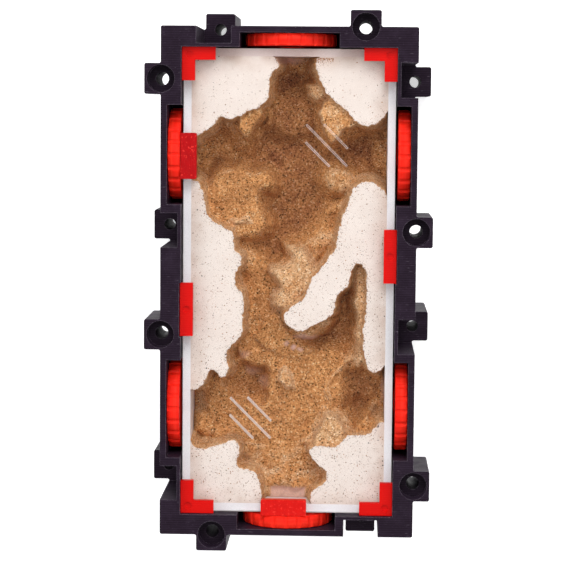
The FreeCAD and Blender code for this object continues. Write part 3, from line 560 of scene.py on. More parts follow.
slits = [loop for loop in mouths if len(loop) == 4 and max(abs(x) for x, y in loop) < SLIT_ZONE]
work = bmesh.new()
for slit in slits:
    rim_band(work, slit, COVER_TOP + RIM_CLEAR, COVER_TOP + RIM_HIGH)
    rim_band(work, slit, COVER_BASE - RIM_HIGH, COVER_BASE - RIM_CLEAR)
slit_rims = show("vent_slit_rims", mesh_from(work, "vent_slit_rims"))
slit_rims.data.materials.append(milky_melt())
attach(slit_rims, "cover")
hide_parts()  # the rims stand for none of the model's nodes
print(f"{len(slits)} slits with rims")

# %% [markdown]
# ## Outline of the plaster
# The nest was carved or cast in plaster, and the plaster's top is flat because the cover lies on it.
# From above its edge is crisp but ragged, as plaster breaks in small bites of a millimetre or less.
# The model has the same banks with smooth outlines. This cell reads those outlines from the top faces
# of the model's plaster, walks along them at a fixed step, and pushes each point in or out by smooth
# noise. Points on the tray's walls stay where they are.

# %% Outline of the plaster
STEP = 0.3
TOUCHING, OFF_WALL = 0.05, 0.1
BITES = ((0.5, 3.1, 4.7), (0.55, 1.3, 9.3), (0.22, 0.7, 2.9))


def on_wall(x, y):
    """Whether a place lies on the tray's wall."""
    return abs(x) > HALF_WIDTH - TOUCHING or abs(y) > HALF_LENGTH - TOUCHING


def walk(loop, step):
    """Points along a closed loop at an even step. A stretch along the tray's wall keeps its ends only."""
    points = []
    for (x0, y0), (x1, y1) in zip(loop, loop[1:] + loop[:1]):
        length = math.hypot(x1 - x0, y1 - y0)
        straight = on_wall(x0, y0) and on_wall(x1, y1) and length > 1
        parts = 1 if straight else max(1, round(length / step))
        points += [(x0 + (x1 - x0) * n / parts, y0 + (y1 - y0) * n / parts) for n in range(parts)]
    return points


def bite(x, y):
    """How far the plaster's edge is pushed out at a place: bites of three depths, sizes and seeds."""
    return sum(depth * noise.noise(Vector((x / size, y / size, seed))) for depth, size, seed in BITES)


def held_in(along, half):
    """Keeps a place just off the tray's wall."""
    return min(max(along, -half + OFF_WALL), half - OFF_WALL)


def ragged(loop):
    """The loop with each free point moved along its outward normal by the bites of the broken plaster."""
    points = walk(loop, STEP)
    moved = []
    for n, (x, y) in enumerate(points):
        if on_wall(x, y):
            moved.append((x, y))
            continue
        (xa, ya), (xb, yb) = points[n - 2], points[(n + 2) % len(points)]
        length = math.hypot(xb - xa, yb - ya) or 1
        push = bite(x, y)
        moved.append((held_in(x + push * (yb - ya) / length, HALF_WIDTH),
                      held_in(y - push * (xb - xa) / length, HALF_LENGTH)))
    return moved


banks = [ragged(loop) for loop in top_outlines("plaster_bed", RIM)]
print(f"{len(banks)} banks, {sum(len(bank) for bank in banks)} outline points")

# %% [markdown]
# ## The plaster itself
# Each bank is a ring of points carried down from the cover to the slab, with a small rounding where the
# edge has rubbed off. The slab under the sand is one block. All are closed shells in one mesh, because
# on the real object they are one casting.

# %% Plaster mesh
EDGE_ROUND = 0.2
BANK_SUNK = 0.5


def inset(loop, distance):
    """The loop moved inwards by a small distance, except along the tray's walls."""
    result = []
    for n, (x, y) in enumerate(loop):
        (xa, ya), (xb, yb) = loop[n - 1], loop[(n + 1) % len(loop)]
        length = math.hypot(xb - xa, yb - ya) or 1
        keep = on_wall(x, y)
        result.append((x, y) if keep else
                      (x - distance * (yb - ya) / length, y + distance * (xb - xa) / length))
    return result


def shell(work, rings):
    """Closes a stack of rings of equal length into one solid."""
    made = points_of(work, rings)
    join_rings(work, made)
    work.faces.new(list(reversed(made[0])))
    work.faces.new(made[-1])


work = bmesh.new()
w, d = HALF_WIDTH, HALF_LENGTH
slab = [(-w, -d), (w, -d), (w, d), (-w, d)]
shell(work, [(slab, SLAB_BASE), (slab, SAND_BASE)])
for bank in banks:
    shell(work, [(bank, SAND_BASE - BANK_SUNK), (bank, RIM - EDGE_ROUND), (inset(bank, EDGE_ROUND), RIM)])
plaster = show("cast_plaster_nest", mesh_from(work, "cast_plaster_nest"))
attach(plaster, "habitat")
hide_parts("plaster_bed")
print(f"plaster: {len(plaster.data.vertices)} points, {len(plaster.data.polygons)} faces")

# %% [markdown]
# ## Masks for specks, stains and painted shade
# Single grains of sand lie on the plaster and among the other grains of the sand. Cells with a random
# value each let a few of them be chosen, and the distance to the cell's middle makes each one round.
# A stain along the tray's walls, partly painted shade where the walls meet the plaster, needs the distance
# to the nearest wall instead.

# %% Masks for specks and stains
def speck_layer(tree, place, cell_mm, share, radius):
    """A mask of round specks in a share of the cells, radius in cells, and a random colour for each."""
    cells = add(tree, "TexVoronoi", {"Vector": place, "Scale": grain_scale(cell_mm), "Randomness": 1.0})
    chance = add(tree, "SeparateColor", {0: cells.outputs["Color"]})
    chosen = add(tree, "Math", {0: chance, 1: share}, operation="LESS_THAN")
    small = add(tree, "Math", {0: cells, 1: radius}, operation="LESS_THAN")
    return add(tree, "Math", {0: chosen, 1: small}, operation="MULTIPLY"), cells.outputs["Color"]


def wall_distance(tree, spot):
    """How far a place lies from the tray's nearest wall, in metres."""
    gaps = []
    for axis, half in (("X", HALF_WIDTH), ("Y", HALF_LENGTH)):
        out = add(tree, "Math", {0: spot[axis]}, operation="ABSOLUTE")
        gaps.append(add(tree, "Math", {0: half * MM, 1: out}, operation="SUBTRACT"))
    return add(tree, "Math", {0: gaps[0], 1: gaps[1]}, operation="MINIMUM")


print(f"the tray's walls are {HALF_WIDTH:.0f} and {HALF_LENGTH:.0f} mm from the middle")

# %% [markdown]
# ## Plaster finish
# Casting plaster dries to a warm white, dead matt, with an IOR of 1.52. Sand has fallen on it and
# stained it: there are single grains, brown or black, that lie thickest towards the front. Along the
# tray's walls the plaster turns a faint pinkish brown, partly a stain and partly painted shade where the
# walls meet it. The brown specks are about 0.5 mm wide, and so are the rarer black ones. Some more
# grains are real solids, and a later cell scatters them.

# %% Plaster finish
STAIN_AND_SHADE_REACH = 7.0
CLOUD, FINE, PLASTER_RELIEF = 9.0, 0.9, 0.05
BROWN_CELL, BLACK_CELL = 0.9, 1.9
BROWN_RADIUS, BLACK_RADIUS = 0.26, 0.15
MOST_GRAINS_AT, FEWEST_GRAINS_AT = -85.0, 80.0
MOST_GRAINS, FEWEST_GRAINS = 0.34, 0.06
BLACK_SHARE = 0.3


def cast_plaster():
    """Matt plaster with clouds, a stain and painted shade along the walls, and brown and black specks."""
    finish, tree = new_finish("cast_plaster")
    place = add(tree, "TexCoord").outputs["Object"]
    spot = add(tree, "SeparateXYZ", {0: place}).outputs
    cloud = add(tree, "TexNoise", {"Vector": place, "Scale": grain_scale(CLOUD), "Detail": 5.0,
                                   "Roughness": 0.6})
    fine = add(tree, "TexNoise", {"Vector": place, "Scale": grain_scale(FINE), "Detail": 4.0,
                                  "Roughness": 0.7})
    # A pinkish brown within a few millimetres of the walls: partly a stain, partly painted shade.
    near = add(tree, "MapRange", {"Value": wall_distance(tree, spot), "From Min": 0.0,
                                  "From Max": STAIN_AND_SHADE_REACH * MM, "To Min": 1.0, "To Max": 0.0})
    patchy = add(tree, "ValToRGB", {0: cloud}, stops=((0.35, 0.15), (0.75, 1.0)))
    stain_and_shade = add(tree, "Math", {0: near, 1: patchy}, operation="MULTIPLY")
    front = add(tree, "MapRange", {"Value": spot["Y"], "From Min": MOST_GRAINS_AT * MM,
                                   "From Max": FEWEST_GRAINS_AT * MM, "To Min": MOST_GRAINS,
                                   "To Max": FEWEST_GRAINS})
    drifts = add(tree, "ValToRGB", {0: cloud}, stops=((0.35, 0.15), (0.7, 1.0)))
    share = add(tree, "Math", {0: front, 1: drifts}, operation="MULTIPLY")
    brown, shade = speck_layer(tree, place, BROWN_CELL, share, BROWN_RADIUS)
    shade = add(tree, "SeparateColor", {0: shade}).outputs["Green"]
    brown_tint = add(tree, "Mix", {FACTOR: shade, FIRST: "#5a3418", SECOND: "#b27440"},
                     data_type="RGBA")
    few = add(tree, "Math", {0: share, 1: BLACK_SHARE}, operation="MULTIPLY")
    black, _ = speck_layer(tree, place, BLACK_CELL, few, BLACK_RADIUS)
    tint = coated(tree, "#f0e4db",
                  (add(tree, "ValToRGB", {0: cloud}, stops=((0.3, 0.0), (0.8, 1.0))), "#e6d8ce"),
                  (stain_and_shade, "#cdb0a0"),
                  (add(tree, "ValToRGB", {0: fine}, stops=((0.55, 0.0), (0.85, 0.5))), "#dccbbf"),
                  (brown, brown_tint),
                  (black, "#2c241e"))
    bump = add(tree, "Bump", {"Height": fine, "Strength": 0.7, "Distance": PLASTER_RELIEF * MM})
    shader = add(tree, "BsdfPrincipled", {"Base Color": tint, "Roughness": 0.85, "IOR": 1.52,
                                          "Normal": bump})
    add(tree, "OutputMaterial", {"Surface": shader})
    return finish


plaster.data.materials.append(cast_plaster())
print("plaster dressed")

# %% [markdown]
# ## Shelves and mounds of the sand
# The hollow's floor is no plain layer. Ledges stand almost as high as the plaster, mounds and ridges
# lie between them, and pits go down to the floor again. Each form is written as its outline seen from
# above, its height, how wide its slope is, and its dryness with painted light and shade: the high places
# are pale, partly because they have dried and partly as painted light, and the deep ones are dark, partly
# because they stay damp and partly as painted shade. The outlines have only the points that their shape
# needs.
# Where forms meet, the highest one shows. The pits are taken out last.

# %% Shelves, mounds and pits
SHELVES = [
    # name, top, slope width, dryness with painted light and shade, outline
    ("lower_chamber", 58.5, 4.0, 0.68,
     [(-39, -42), (-24, -34), (-18, -26), (22, -28), (28, -36), (20, -62), (8, -90), (-8, -90),
      (-14, -70), (-39, -64)]),
    ("left_passage", 57.5, 4.0, 0.65,
     [(-20, 20), (-12, 10), (-4, 4), (-2, -8), (-4, -22), (-2, -34), (-22, -34), (-24, -12),
      (-20, 0), (-24, 14)]),
    ("tongue_foot", 60.0, 3.0, 0.7,
     [(-12, -14), (-4, -10), (0, -18), (6, -24), (14, -30), (2, -34), (-10, -30), (-16, -24)]),
    ("finger_foot", 64.0, 3.0, 0.86,
     [(0, -16), (0.5, -21), (4, -24), (9, -23.5), (14, -21), (18, -17), (16, -13)]),
    ("middle_left", 60.0, 4.0, 0.84,
     [(-9, -1), (-4, -4), (-2, -10), (-5, -14), (-9, -10)]),
    ("neck_floor", 53.0, 4.0, 0.04,
     [(-12, 90), (-8, 74), (-12, 66), (-10, 58), (4, 58), (3, 68), (2, 76), (4, 90)]),
    ("left_band", 51.5, 4.0, 0.62,
     [(-41, 46), (-30, 48), (-16, 46), (-16, 56), (-26, 64), (-41, 60)]),
    ("lobe", 56.5, 5.0, 0.32,
     [(-6.5, 75), (-9, 68), (-9.5, 61.5), (-7, 57), (-2.5, 54), (3, 53.5), (9, 56.5), (11, 62), (11, 68.5),
      (9, 73), (2, 76.5)]),
    ("neck_left", 59.0, 3.0, 0.55,
     [(-12, 74), (-8.5, 74), (-7.5, 66), (-8, 60), (-11, 60), (-11, 66)]),
    ("neck_spot", 64.0, 3.0, 0.88,
     [(5.5, 78), (10, 80), (15, 77), (15, 70), (10, 69.5), (6, 72.5)]),
    ("left_mound", 63.0, 3.2, 0.69,
     [(-39, 35), (-33.5, 39), (-30.5, 43), (-26, 45.5), (-20, 46), (-14, 44.5), (-9, 44), (-6, 41.5),
      (-4.5, 38), (-7, 34.5), (-11, 34), (-10, 29), (-8, 25.5), (-7, 21), (-9, 17.5), (-13, 16.5),
      (-18, 14.5), (-24, 16.5), (-39, 26)]),
    ("left_mound_crown", 65.5, 4.0, 0.9,
     [(-27, 24), (-23, 27), (-16, 27), (-12, 24), (-12, 20), (-22, 20)]),
    ("right_tan", 61.5, 4.5, 0.82,
     [(13, 44.5), (18, 46.5), (23, 45), (28, 40), (28, 36), (22, 33), (15, 34), (12, 39.5)]),
    ("right_slope", 60.0, 5.0, 0.86,
     [(5, 15), (11.5, 20), (16, 30), (24, 34), (26, 26), (19, 14), (14, 8), (10.5, 3.5), (6.5, 6.5)]),
    ("ridge", 66.0, 3.6, 0.98,
     [(-9.5, 4), (-5.5, 6.5), (-1.5, 8.5), (-1, 14), (3, 15), (6, 14), (10, 8), (14, 4), (10, -3),
      (6, -9), (2, -13), (-3, -14), (-7.5, -11), (-8, -6.5), (-5.5, -3)]),
    ("inlet_mouth", 59.0, 5.0, 0.84,
     [(23, -34), (27, -28), (36, -36), (32, -46), (24, -43)]),
    ("inlet_border", 65.0, 3.0, 0.95,
     [(24.4, 8), (34, 8), (36, -40), (30, -40), (25.5, -36), (25.8, -28), (25.6, -20),
      (25.2, -12), (24.6, -4)]),
    ("middle_front", 62.5, 2.6, 0.94,
     [(-5.5, -35), (-2, -33.5), (1.5, -37.5), (4, -45), (-1.5, -45.5), (-6, -41)]),
    ("curved_ridge", 61.5, 4.0, 0.77,
     [(30, -29), (24, -30.5), (16, -36), (13, -44), (14, -52), (9, -60), (-2, -67.5), (-1, -71), (8, -68),
      (15, -61), (19, -52), (18, -44), (21, -37.5), (28, -33)]),
    ("chamber_left", 55.5, 3.0, 0.5,
     [(-39, -44), (-30, -38), (-24, -46), (-14, -54), (-12, -62), (-39, -64)]),
    ("lower_neck", 59.5, 5.0, 0.82,
     [(-20, -64), (8, -62), (14, -76), (10, -90), (-12, -90), (-16, -77), (-23, -70)]),
    ("neck_end", 61.0, 4.5, 0.8,
     [(-14, -75), (12, -75), (18, -77), (20, -84), (12, -90), (-12, -90)]),
    ("apron_left_back", 61.0, 6.0, 0.68,
     [(-24, 70), (-14, 66), (-13, 58), (-15, 52), (-20, 53), (-25, 58), (-27, 62)]),
    ("apron_right_back", 61.0, 4.5, 0.6,
     [(10, 72), (9.5, 64), (11, 56), (15, 51), (21, 54), (26, 58), (33, 60), (28, 70)]),
    ("apron_right_front", 61.0, 4.5, 0.8,
     [(12, -49), (21, -50), (27, -58), (27, -68), (8, -70), (7, -60)]),
    ("ledge_left_back", 69.0, 1.6, 0.68,
     [(-15, 72), (-10.7, 70), (-10.2, 66.7), (-11.3, 62.7), (-13.6, 58.8), (-16.1, 54.8), (-18.4, 56.5),
      (-20.4, 59.3), (-20.9, 63.8), (-22, 68)]),
    ("ledge_right_back", 69.4, 1.2, 0.78,
     [(12.5, 70.3), (11.2, 66.3), (13.2, 61.8), (13.8, 56.7), (16.7, 53.9), (19.8, 57.4), (22.8, 60.2),
      (30, 62), (24, 70), (16, 76)]),
    ("ledge_right_front", 69.0, 1.6, 0.92,
     [(15.8, -52.4), (19.8, -53.8), (23.3, -59.6), (24, -66), (16, -69), (9, -66), (10.1, -60.9),
      (13, -56.2)]),
    ("right_shoulder", 66.0, 2.0, 0.6,
     [(27, -57), (34, -51), (39, -49), (39, -62), (26, -64)]),
]
PITS = [
    # name, depth, slope width, dryness with painted light and shade, outline
    ("left_pit", 49.0, 2.6, 0.5,
     [(-24.5, -37), (-18.5, -34.5), (-14, -36), (-9.5, -36), (-9.5, -41), (-10, -47), (-11.5, -51),
      (-16, -49), (-22, -47), (-25.5, -42.5)]),
    ("right_pit", 52.0, 3.5, 0.34,
     [(23, -38), (29.5, -35), (39, -42), (39, -50), (34, -48.5), (27, -49), (24, -44.5)]),
    ("back_hollow", 49.0, 5.0, 0.22,
     [(-14, 56), (4, 56), (4, 44), (-6, 46), (-14, 47)]),
    ("right_hollow", 56.0, 2.5, 0.4,
     [(15, 27), (18, 29), (21, 26), (19, 20), (16, 20)]),
    ("right_band", 51.5, 4.0, 0.2,
     [(23, 56), (30, 57), (36, 54), (37, 46), (30, 44), (24, 49)]),
]
print(f"{len(SHELVES)} shelves and mounds, {len(PITS)} pits")

# %% [markdown]
# ## Dips in front of the ports
# An ant has to get from each port onto the sand, so the sand dips towards the port there. Some of it has
# slumped back, so each dip ends above the port's lower edge, and the front one, which is widest, is the
# shallowest. Each dip is a short rectangle at the tray's wall, placed by the disc outside of it.

# %% Dips in front of the ports
DIP_REACH, DIP_HALF, PAST_WALL = 4.5, 4.5, 3.0
FRONT_DIP_HALF = 7.0
PORT_SILL = SAND_BASE + 2.0
SLUMPED, SLUMPED_IN_FRONT = 5.0, 13.0


def dip_outline(x, y, half):
    """A rectangle from inside the tray, through its wall, in front of a disc at this place."""
    sideways = abs(x) > HALF_WIDTH
    across, along = (x, y) if sideways else (y, x)
    wall_at = math.copysign(HALF_WIDTH if sideways else HALF_LENGTH, across)
    inside = wall_at - math.copysign(DIP_REACH, wall_at)
    outside = wall_at + math.copysign(PAST_WALL, wall_at)
    low, high = along - half, along + half
    corners = [(inside, low), (outside, low), (outside, high), (inside, high)]
    return corners if sideways else [(b, a) for a, b in corners]


# The dips' dryness values paint them pale: painted light against the shade inside each dip.
for name in discs:
    x, y, _ = (np.add(*limits(name)) / 2).tolist()
    if name == "disc_front":
        front_dip = dip_outline(x, y, FRONT_DIP_HALF)
        PITS.append(("dip_front", PORT_SILL + SLUMPED_IN_FRONT, 1.0, 0.85, front_dip))
    else:
        PITS.append((f"dip_{name}", PORT_SILL + SLUMPED, 2.5, 0.8, dip_outline(x, y, DIP_HALF)))
print(f"{len(discs)} dips, the deepest down to {PORT_SILL + SLUMPED:.0f} mm")

# %% [markdown]
# ## Grid and noise for the sand
# The sand is one height for each place, so it can be worked out on a grid, for all places at once. That
# needs three helpers: smooth noise over the grid, a soft step, and the distance to an outline.

# %% Grid and noise for the sand
GRID = 0.5
columns = int(round(2 * HALF_WIDTH / GRID)) + 1
rows = int(round(2 * HALF_LENGTH / GRID)) + 1
xs = np.linspace(-HALF_WIDTH, HALF_WIDTH, columns)
ys = np.linspace(-HALF_LENGTH, HALF_LENGTH, rows)
X, Y = (side.ravel() for side in np.meshgrid(xs, ys))


def field(size_mm, seed):
    """Smooth noise over the grid, about -1 to 1, with humps of this size."""
    return np.array([noise.noise(Vector((x / size_mm, y / size_mm, seed))) for x, y in zip(X, Y)])


def smooth(t):
    """A soft step from 0 to 1."""
    t = np.clip(t, 0, 1)
    return t * t * (3 - 2 * t)


def depth_inside(outline, px, py):
    """How far each point lies inside an outline, and outside it as a negative distance."""
    nearest = np.full(len(px), 1e9)
    inside = np.zeros(len(px), bool)
    for (x0, y0), (x1, y1) in zip(outline, outline[1:] + outline[:1]):
        dx, dy = x1 - x0, y1 - y0
        t = np.clip(((px - x0) * dx + (py - y0) * dy) / (dx * dx + dy * dy), 0, 1)
        nearest = np.minimum(nearest, np.hypot(px - x0 - t * dx, py - y0 - t * dy))
        crosses = (y0 > py) != (y1 > py)
        inside ^= crosses & (px < x0 + (py - y0) * dx / (dy if dy else 1e-9))
    return np.where(inside, nearest, -nearest)


print(f"{columns} x {rows} grid points, {GRID} mm apart")

# %% [markdown]
# ## Height of the sand
# Each place is first shifted a little by smooth noise, so that no outline looks drawn with a ruler.
# Every form then lifts the floor by how far inside its outline the place lies. Noise of four sizes
# makes the ground uneven: rolling humps, small lumps, clods and single coarse grains. High ledges stay
# flatter than the rest. A slope is painted a little paler than level ground, as painted light.

# %% Height of the sand
FLOOR, FLOOR_DRYNESS_AND_LIGHT = 49.0, 0.35
WANDER, QUIVER = 1.3, 0.45
OVERTAKING = 2.0
STEEP, SLOPE_PAINTED_LIGHT = 1.6, 0.14
LEDGE_TOP, LEDGE_BAND, LEDGE_UNEVEN = 69.0, 3.0, 0.3
LUMP_HIGH, CLOD_HIGH, COARSE_HIGH = 0.75, 0.32, 0.22
humps, lumps, clods, coarse = field(9, 1.5), field(3.2, 7.1), field(1.5, 3.9), field(0.7, 5.2)
px = X + WANDER * field(6.5, 11.3) + QUIVER * field(2.1, 17.7)
py = Y + WANDER * field(6.5, 23.9) + QUIVER * field(2.1, 29.1)
height = np.full(len(X), FLOOR)
# Paleness of the sand: its dryness, with painted light on high forms and painted shade in deep ones.
dry_and_lit = np.full(len(X), FLOOR_DRYNESS_AND_LIGHT)
for name, top, slope, dryness_and_light, outline in SHELVES:
    share = smooth(0.5 + depth_inside(outline, px, py) / (2 * slope))
    lifted = FLOOR + (top - FLOOR) * share
    higher = smooth(0.5 + (lifted - height) / OVERTAKING)
    dry_and_lit = dry_and_lit + (dryness_and_light - dry_and_lit) * higher * share
    height = np.maximum(height, lifted)
for name, bottom, slope, dryness_and_light, outline in PITS:
    share = smooth(0.5 + depth_inside(outline, px, py) / (2 * slope))
    height = height + (bottom - height) * share
    dry_and_lit = dry_and_lit + (dryness_and_light - dry_and_lit) * share
rise = np.gradient(height.reshape(rows, columns), GRID)
steep = np.hypot(rise[0], rise[1]).ravel()
# painted light: steep slopes are painted paler
dry_and_lit += SLOPE_PAINTED_LIGHT * smooth(steep / STEEP)
uneven = smooth((LEDGE_TOP - height) / LEDGE_BAND) * (1 - LEDGE_UNEVEN) + LEDGE_UNEVEN
height += uneven * (humps + LUMP_HIGH * lumps) + CLOD_HIGH * clods + COARSE_HIGH * coarse
print(f"sand ground from {height.min():.1f} to {height.max():.1f} mm")

# %% [markdown]
# ## Where the sand meets the plaster
# A ray from above tells whether a grid point lies under plaster, and a search tree over the banks'
# outline gives its distance from the broken edge. Next to the edge the sand rises steeply to just below
# the rim, because it was pressed on there while the plaster was wet. How steeply changes from place to
# place, as it does on a hand-pressed wall. The sand beside the plaster's edge, the sand along the tray's
# wall and the sand that climbs the plaster are painted paler: painted light against the shade of the
# walls. Under the plaster the sand stops after a millimetre, where nobody can see it.

# %% Sand against the plaster
UNDER = 1.2
EDGE_PAINTED_LIGHT, EDGE_LIGHT_SHARE, EDGE_LIGHT_REACH = 0.9, 0.9, 3.0
WALL_PAINTED_LIGHT, WALL_LIGHT_REACH = 0.86, 2.5
CLIMB_PAINTED_LIGHT, CLIMB_LIGHT_BAND = 0.92, 4.0
CLIMB_REACH, REACH_VARIES, REACH_LUMPS, LEAST_REACH = 1.5, 0.8, 0.4, 0.4
CLIMB_CURVE, UNDER_SLOPE = 1.5, 0.5
BELOW_RIM, CREST_UNEVEN, MOST_HEIGHT = 0.35, 0.2, RIM - 0.25
edge = KDTree(sum(len(bank) for bank in banks))
for number, (x, y) in enumerate(p for bank in banks for p in bank if not on_wall(*p)):
    edge.insert(Vector((x, y, 0)), number)
edge.balance()
plaster_tree = BVHTree.FromObject(plaster, bpy.context.evaluated_depsgraph_get())


def plaster_below(x, y):
    """Height of the plaster under a place, in millimetres, or None."""
    hit = plaster_tree.ray_cast(Vector((x * MM, y * MM, 0.1)), Vector((0, 0, -1)))[0]
    return None if hit is None else hit.z / MM


distance = np.array([edge.find(Vector((x, y, 0)))[2] for x, y in zip(X, Y)])
below = [plaster_below(x, y) for x, y in zip(X, Y)]
covered = np.array([top is not None and top > RIM - 1 for top in below])
beside_wall = np.minimum(HALF_WIDTH - np.abs(X), HALF_LENGTH - np.abs(Y))
# painted light: the sand beside the plaster's edge and along the tray's wall is painted paler
dry_and_lit += np.maximum(EDGE_PAINTED_LIGHT - dry_and_lit, 0) * EDGE_LIGHT_SHARE * np.exp(-distance / EDGE_LIGHT_REACH)
dry_and_lit += np.maximum(WALL_PAINTED_LIGHT - dry_and_lit, 0) * np.exp(-beside_wall / WALL_LIGHT_REACH)
reach = CLIMB_REACH + REACH_VARIES * (0.5 + 0.5 * field(11, 41.3)) + REACH_LUMPS * lumps
crest = RIM - BELOW_RIM + CREST_UNEVEN * coarse
fallen = 1 - np.exp(-(distance / np.maximum(reach, LEAST_REACH)) ** CLIMB_CURVE)
climb = crest - (crest - FLOOR) * fallen
# painted light: the sand that climbs the plaster is painted paler
climb_lit = dry_and_lit + (CLIMB_PAINTED_LIGHT - dry_and_lit) * smooth((climb - height) / CLIMB_LIGHT_BAND)
dry_and_lit = np.where(climb > height, climb_lit, dry_and_lit)
open_height = np.minimum(np.maximum(height, climb), MOST_HEIGHT)
height = np.where(covered, crest - UNDER_SLOPE * distance, open_height)
kept = ~(covered & (distance > UNDER))
print(f"{kept.sum()} of {len(kept)} grid points carry sand")

# %% [markdown]
# ## Painted sheen and pink glow
# A few places on the sand get a painted whitish sheen, and in front of the front port the sand gets a
# painted pink glow, where the red disc behind the white sheet tints the light. Each spot is an ellipse
# with a soft edge, and the port's glow follows the dip's own outline.

# %% Painted sheen and pink glow
SHEEN_SPOTS = [
    # x, y, half width, half length, strength
    (-15.0, -38.0, 3.2, 2.2, 0.30), (-10.5, -42.5, 2.0, 3.0, 0.28), (-18.0, -30.5, 2.6, 1.6, 0.30),
    (2.0, -27.5, 1.6, 1.0, 0.75), (5.2, -28.4, 1.3, 0.8, 0.65), (-1.2, -25.4, 1.1, 0.9, 0.55),
    (-4.0, 87.6, 9.5, 2.0, 0.6), (6.8, -22.9, 4.6, 1.3, 0.7), (37.6, -44.0, 0.7, 6.0, 0.4),
]
PORT_GLOW, PORT_GLOW_EDGE, PORT_GLOW_RAGGED = 0.8, 0.8, 0.3
SHEEN_REACH = 1.4
into_dip = depth_inside(front_dip, X + PORT_GLOW_RAGGED * lumps, Y + PORT_GLOW_RAGGED * lumps)
painted_sheen_and_glow = PORT_GLOW * smooth(0.5 + into_dip / PORT_GLOW_EDGE)
for x, y, half_x, half_y, strength in SHEEN_SPOTS:
    away = np.hypot((px - x) / half_x, (py - y) / half_y)
    painted_sheen_and_glow = np.maximum(painted_sheen_and_glow, strength * smooth(SHEEN_REACH - away))
# the milky spots are a painted sheen, and the film at the front port is a painted pink glow
print(f"{len(SHEEN_SPOTS)} milky spots and the film at the front port")

# %% [markdown]
# ## The sand as a closed piece
# Grid cells whose four corners are kept become faces. The same cells again, lower down, close the
# piece from below, and a wall closes it wherever a cell has no neighbour. The dryness with its painted
# light and shade, and the painted sheen and pink glow, go into the mesh as attributes, so that the finish
# can follow the forms.

# %% Sand mesh
BOTTOM_CLEAR = 0.05
kept_grid = kept.reshape(rows, columns)
cell = kept_grid[:-1, :-1] & kept_grid[:-1, 1:] & kept_grid[1:, :-1] & kept_grid[1:, 1:]
row, column = np.nonzero(cell)
corner = row * columns + column
top_faces = np.stack([corner, corner + 1, corner + columns + 1, corner + columns], axis=1)
count = rows * columns
bottom_faces = top_faces[:, ::-1] + count
first, second = np.array(open_edges(top_faces.tolist())).T
side_faces = np.stack([second, first, first + count, second + count], axis=1)
every_face = np.concatenate([top_faces, bottom_faces, side_faces])
used, every_face = np.unique(every_face, return_inverse=True)
every_face = every_face.reshape(-1, 4)
top_points = np.stack([X, Y, height], axis=1)
bottom_points = np.stack([X, Y, np.full(count, SAND_BASE + BOTTOM_CLEAR)], axis=1)
points = np.concatenate([top_points, bottom_points])[used] * MM
sand_mesh = bpy.data.meshes.new("sand_lining")
sand_mesh.from_pydata(points.tolist(), [], every_face.tolist())
sand_mesh.polygons.foreach_set("use_smooth", np.arange(len(every_face)) < len(top_faces))
# The milky attribute carries the painted sheen and the painted pink glow.
for name, amount in (("dryness_and_light", dry_and_lit), ("milky", painted_sheen_and_glow)):
    values = sand_mesh.attributes.new(name, "FLOAT", "POINT")
    values.data.foreach_set("value", np.concatenate([amount, amount])[used].astype(np.float32))
sand = show("sand_lining", sand_mesh)
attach(sand, "habitat")
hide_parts("sand_bed")
print(f"sand: {len(points)} points, {len(every_face)} faces")

# %% [markdown]
# ## Sand finish
# This is river sand of mixed grain, 0.3 to 0.6 mm: mostly brown and amber quartz, with black grains and
# some milky ones. Quartz has an IOR of 1.54. Cells of 0.45 mm take one colour each from a ramp, and
# there are three ramps: damp sand in the pits is dark and reddish, with painted shade, dry sand is amber,
# and sand on the ledges has bleached pale, with painted light. The dryness of each place, with its
# painted light and shade, chooses between them, with larger noise that makes patches. Darker brown and
# black grains lie over them, and the painted sheen and pink glow come last. The bump uses the same
# cells, so that each grain is also a small lump.

# %% Sand finish
GRAIN, PATCH, DUST, SAND_RELIEF = 0.45, 5.0, 1.3, 0.09
# cell in millimetres, share of the cells, radius in cells
BROWN_GRAINS, BLACK_GRAINS = (0.8, 0.22, 0.36), (1.0, 0.12, 0.34)
DAMP_AND_SHADED = ((0.0, "#26120b"), (0.10, "#4e2718"), (0.5, "#703a26"), (0.85, "#884c34"), (1.0, "#a0664a"))
DRY = ((0.0, "#5a3a22"), (0.10, "#a87245"), (0.45, "#cf9059"), (0.8, "#d99c62"), (0.94, "#e3b077"),
       (1.0, "#efcf9f"))
BLEACHED_AND_LIT = ((0.0, "#8a6445"), (0.10, "#c29468"), (0.45, "#dbaa7c"), (0.8, "#e3b98c"), (1.0, "#f6dfbf"))


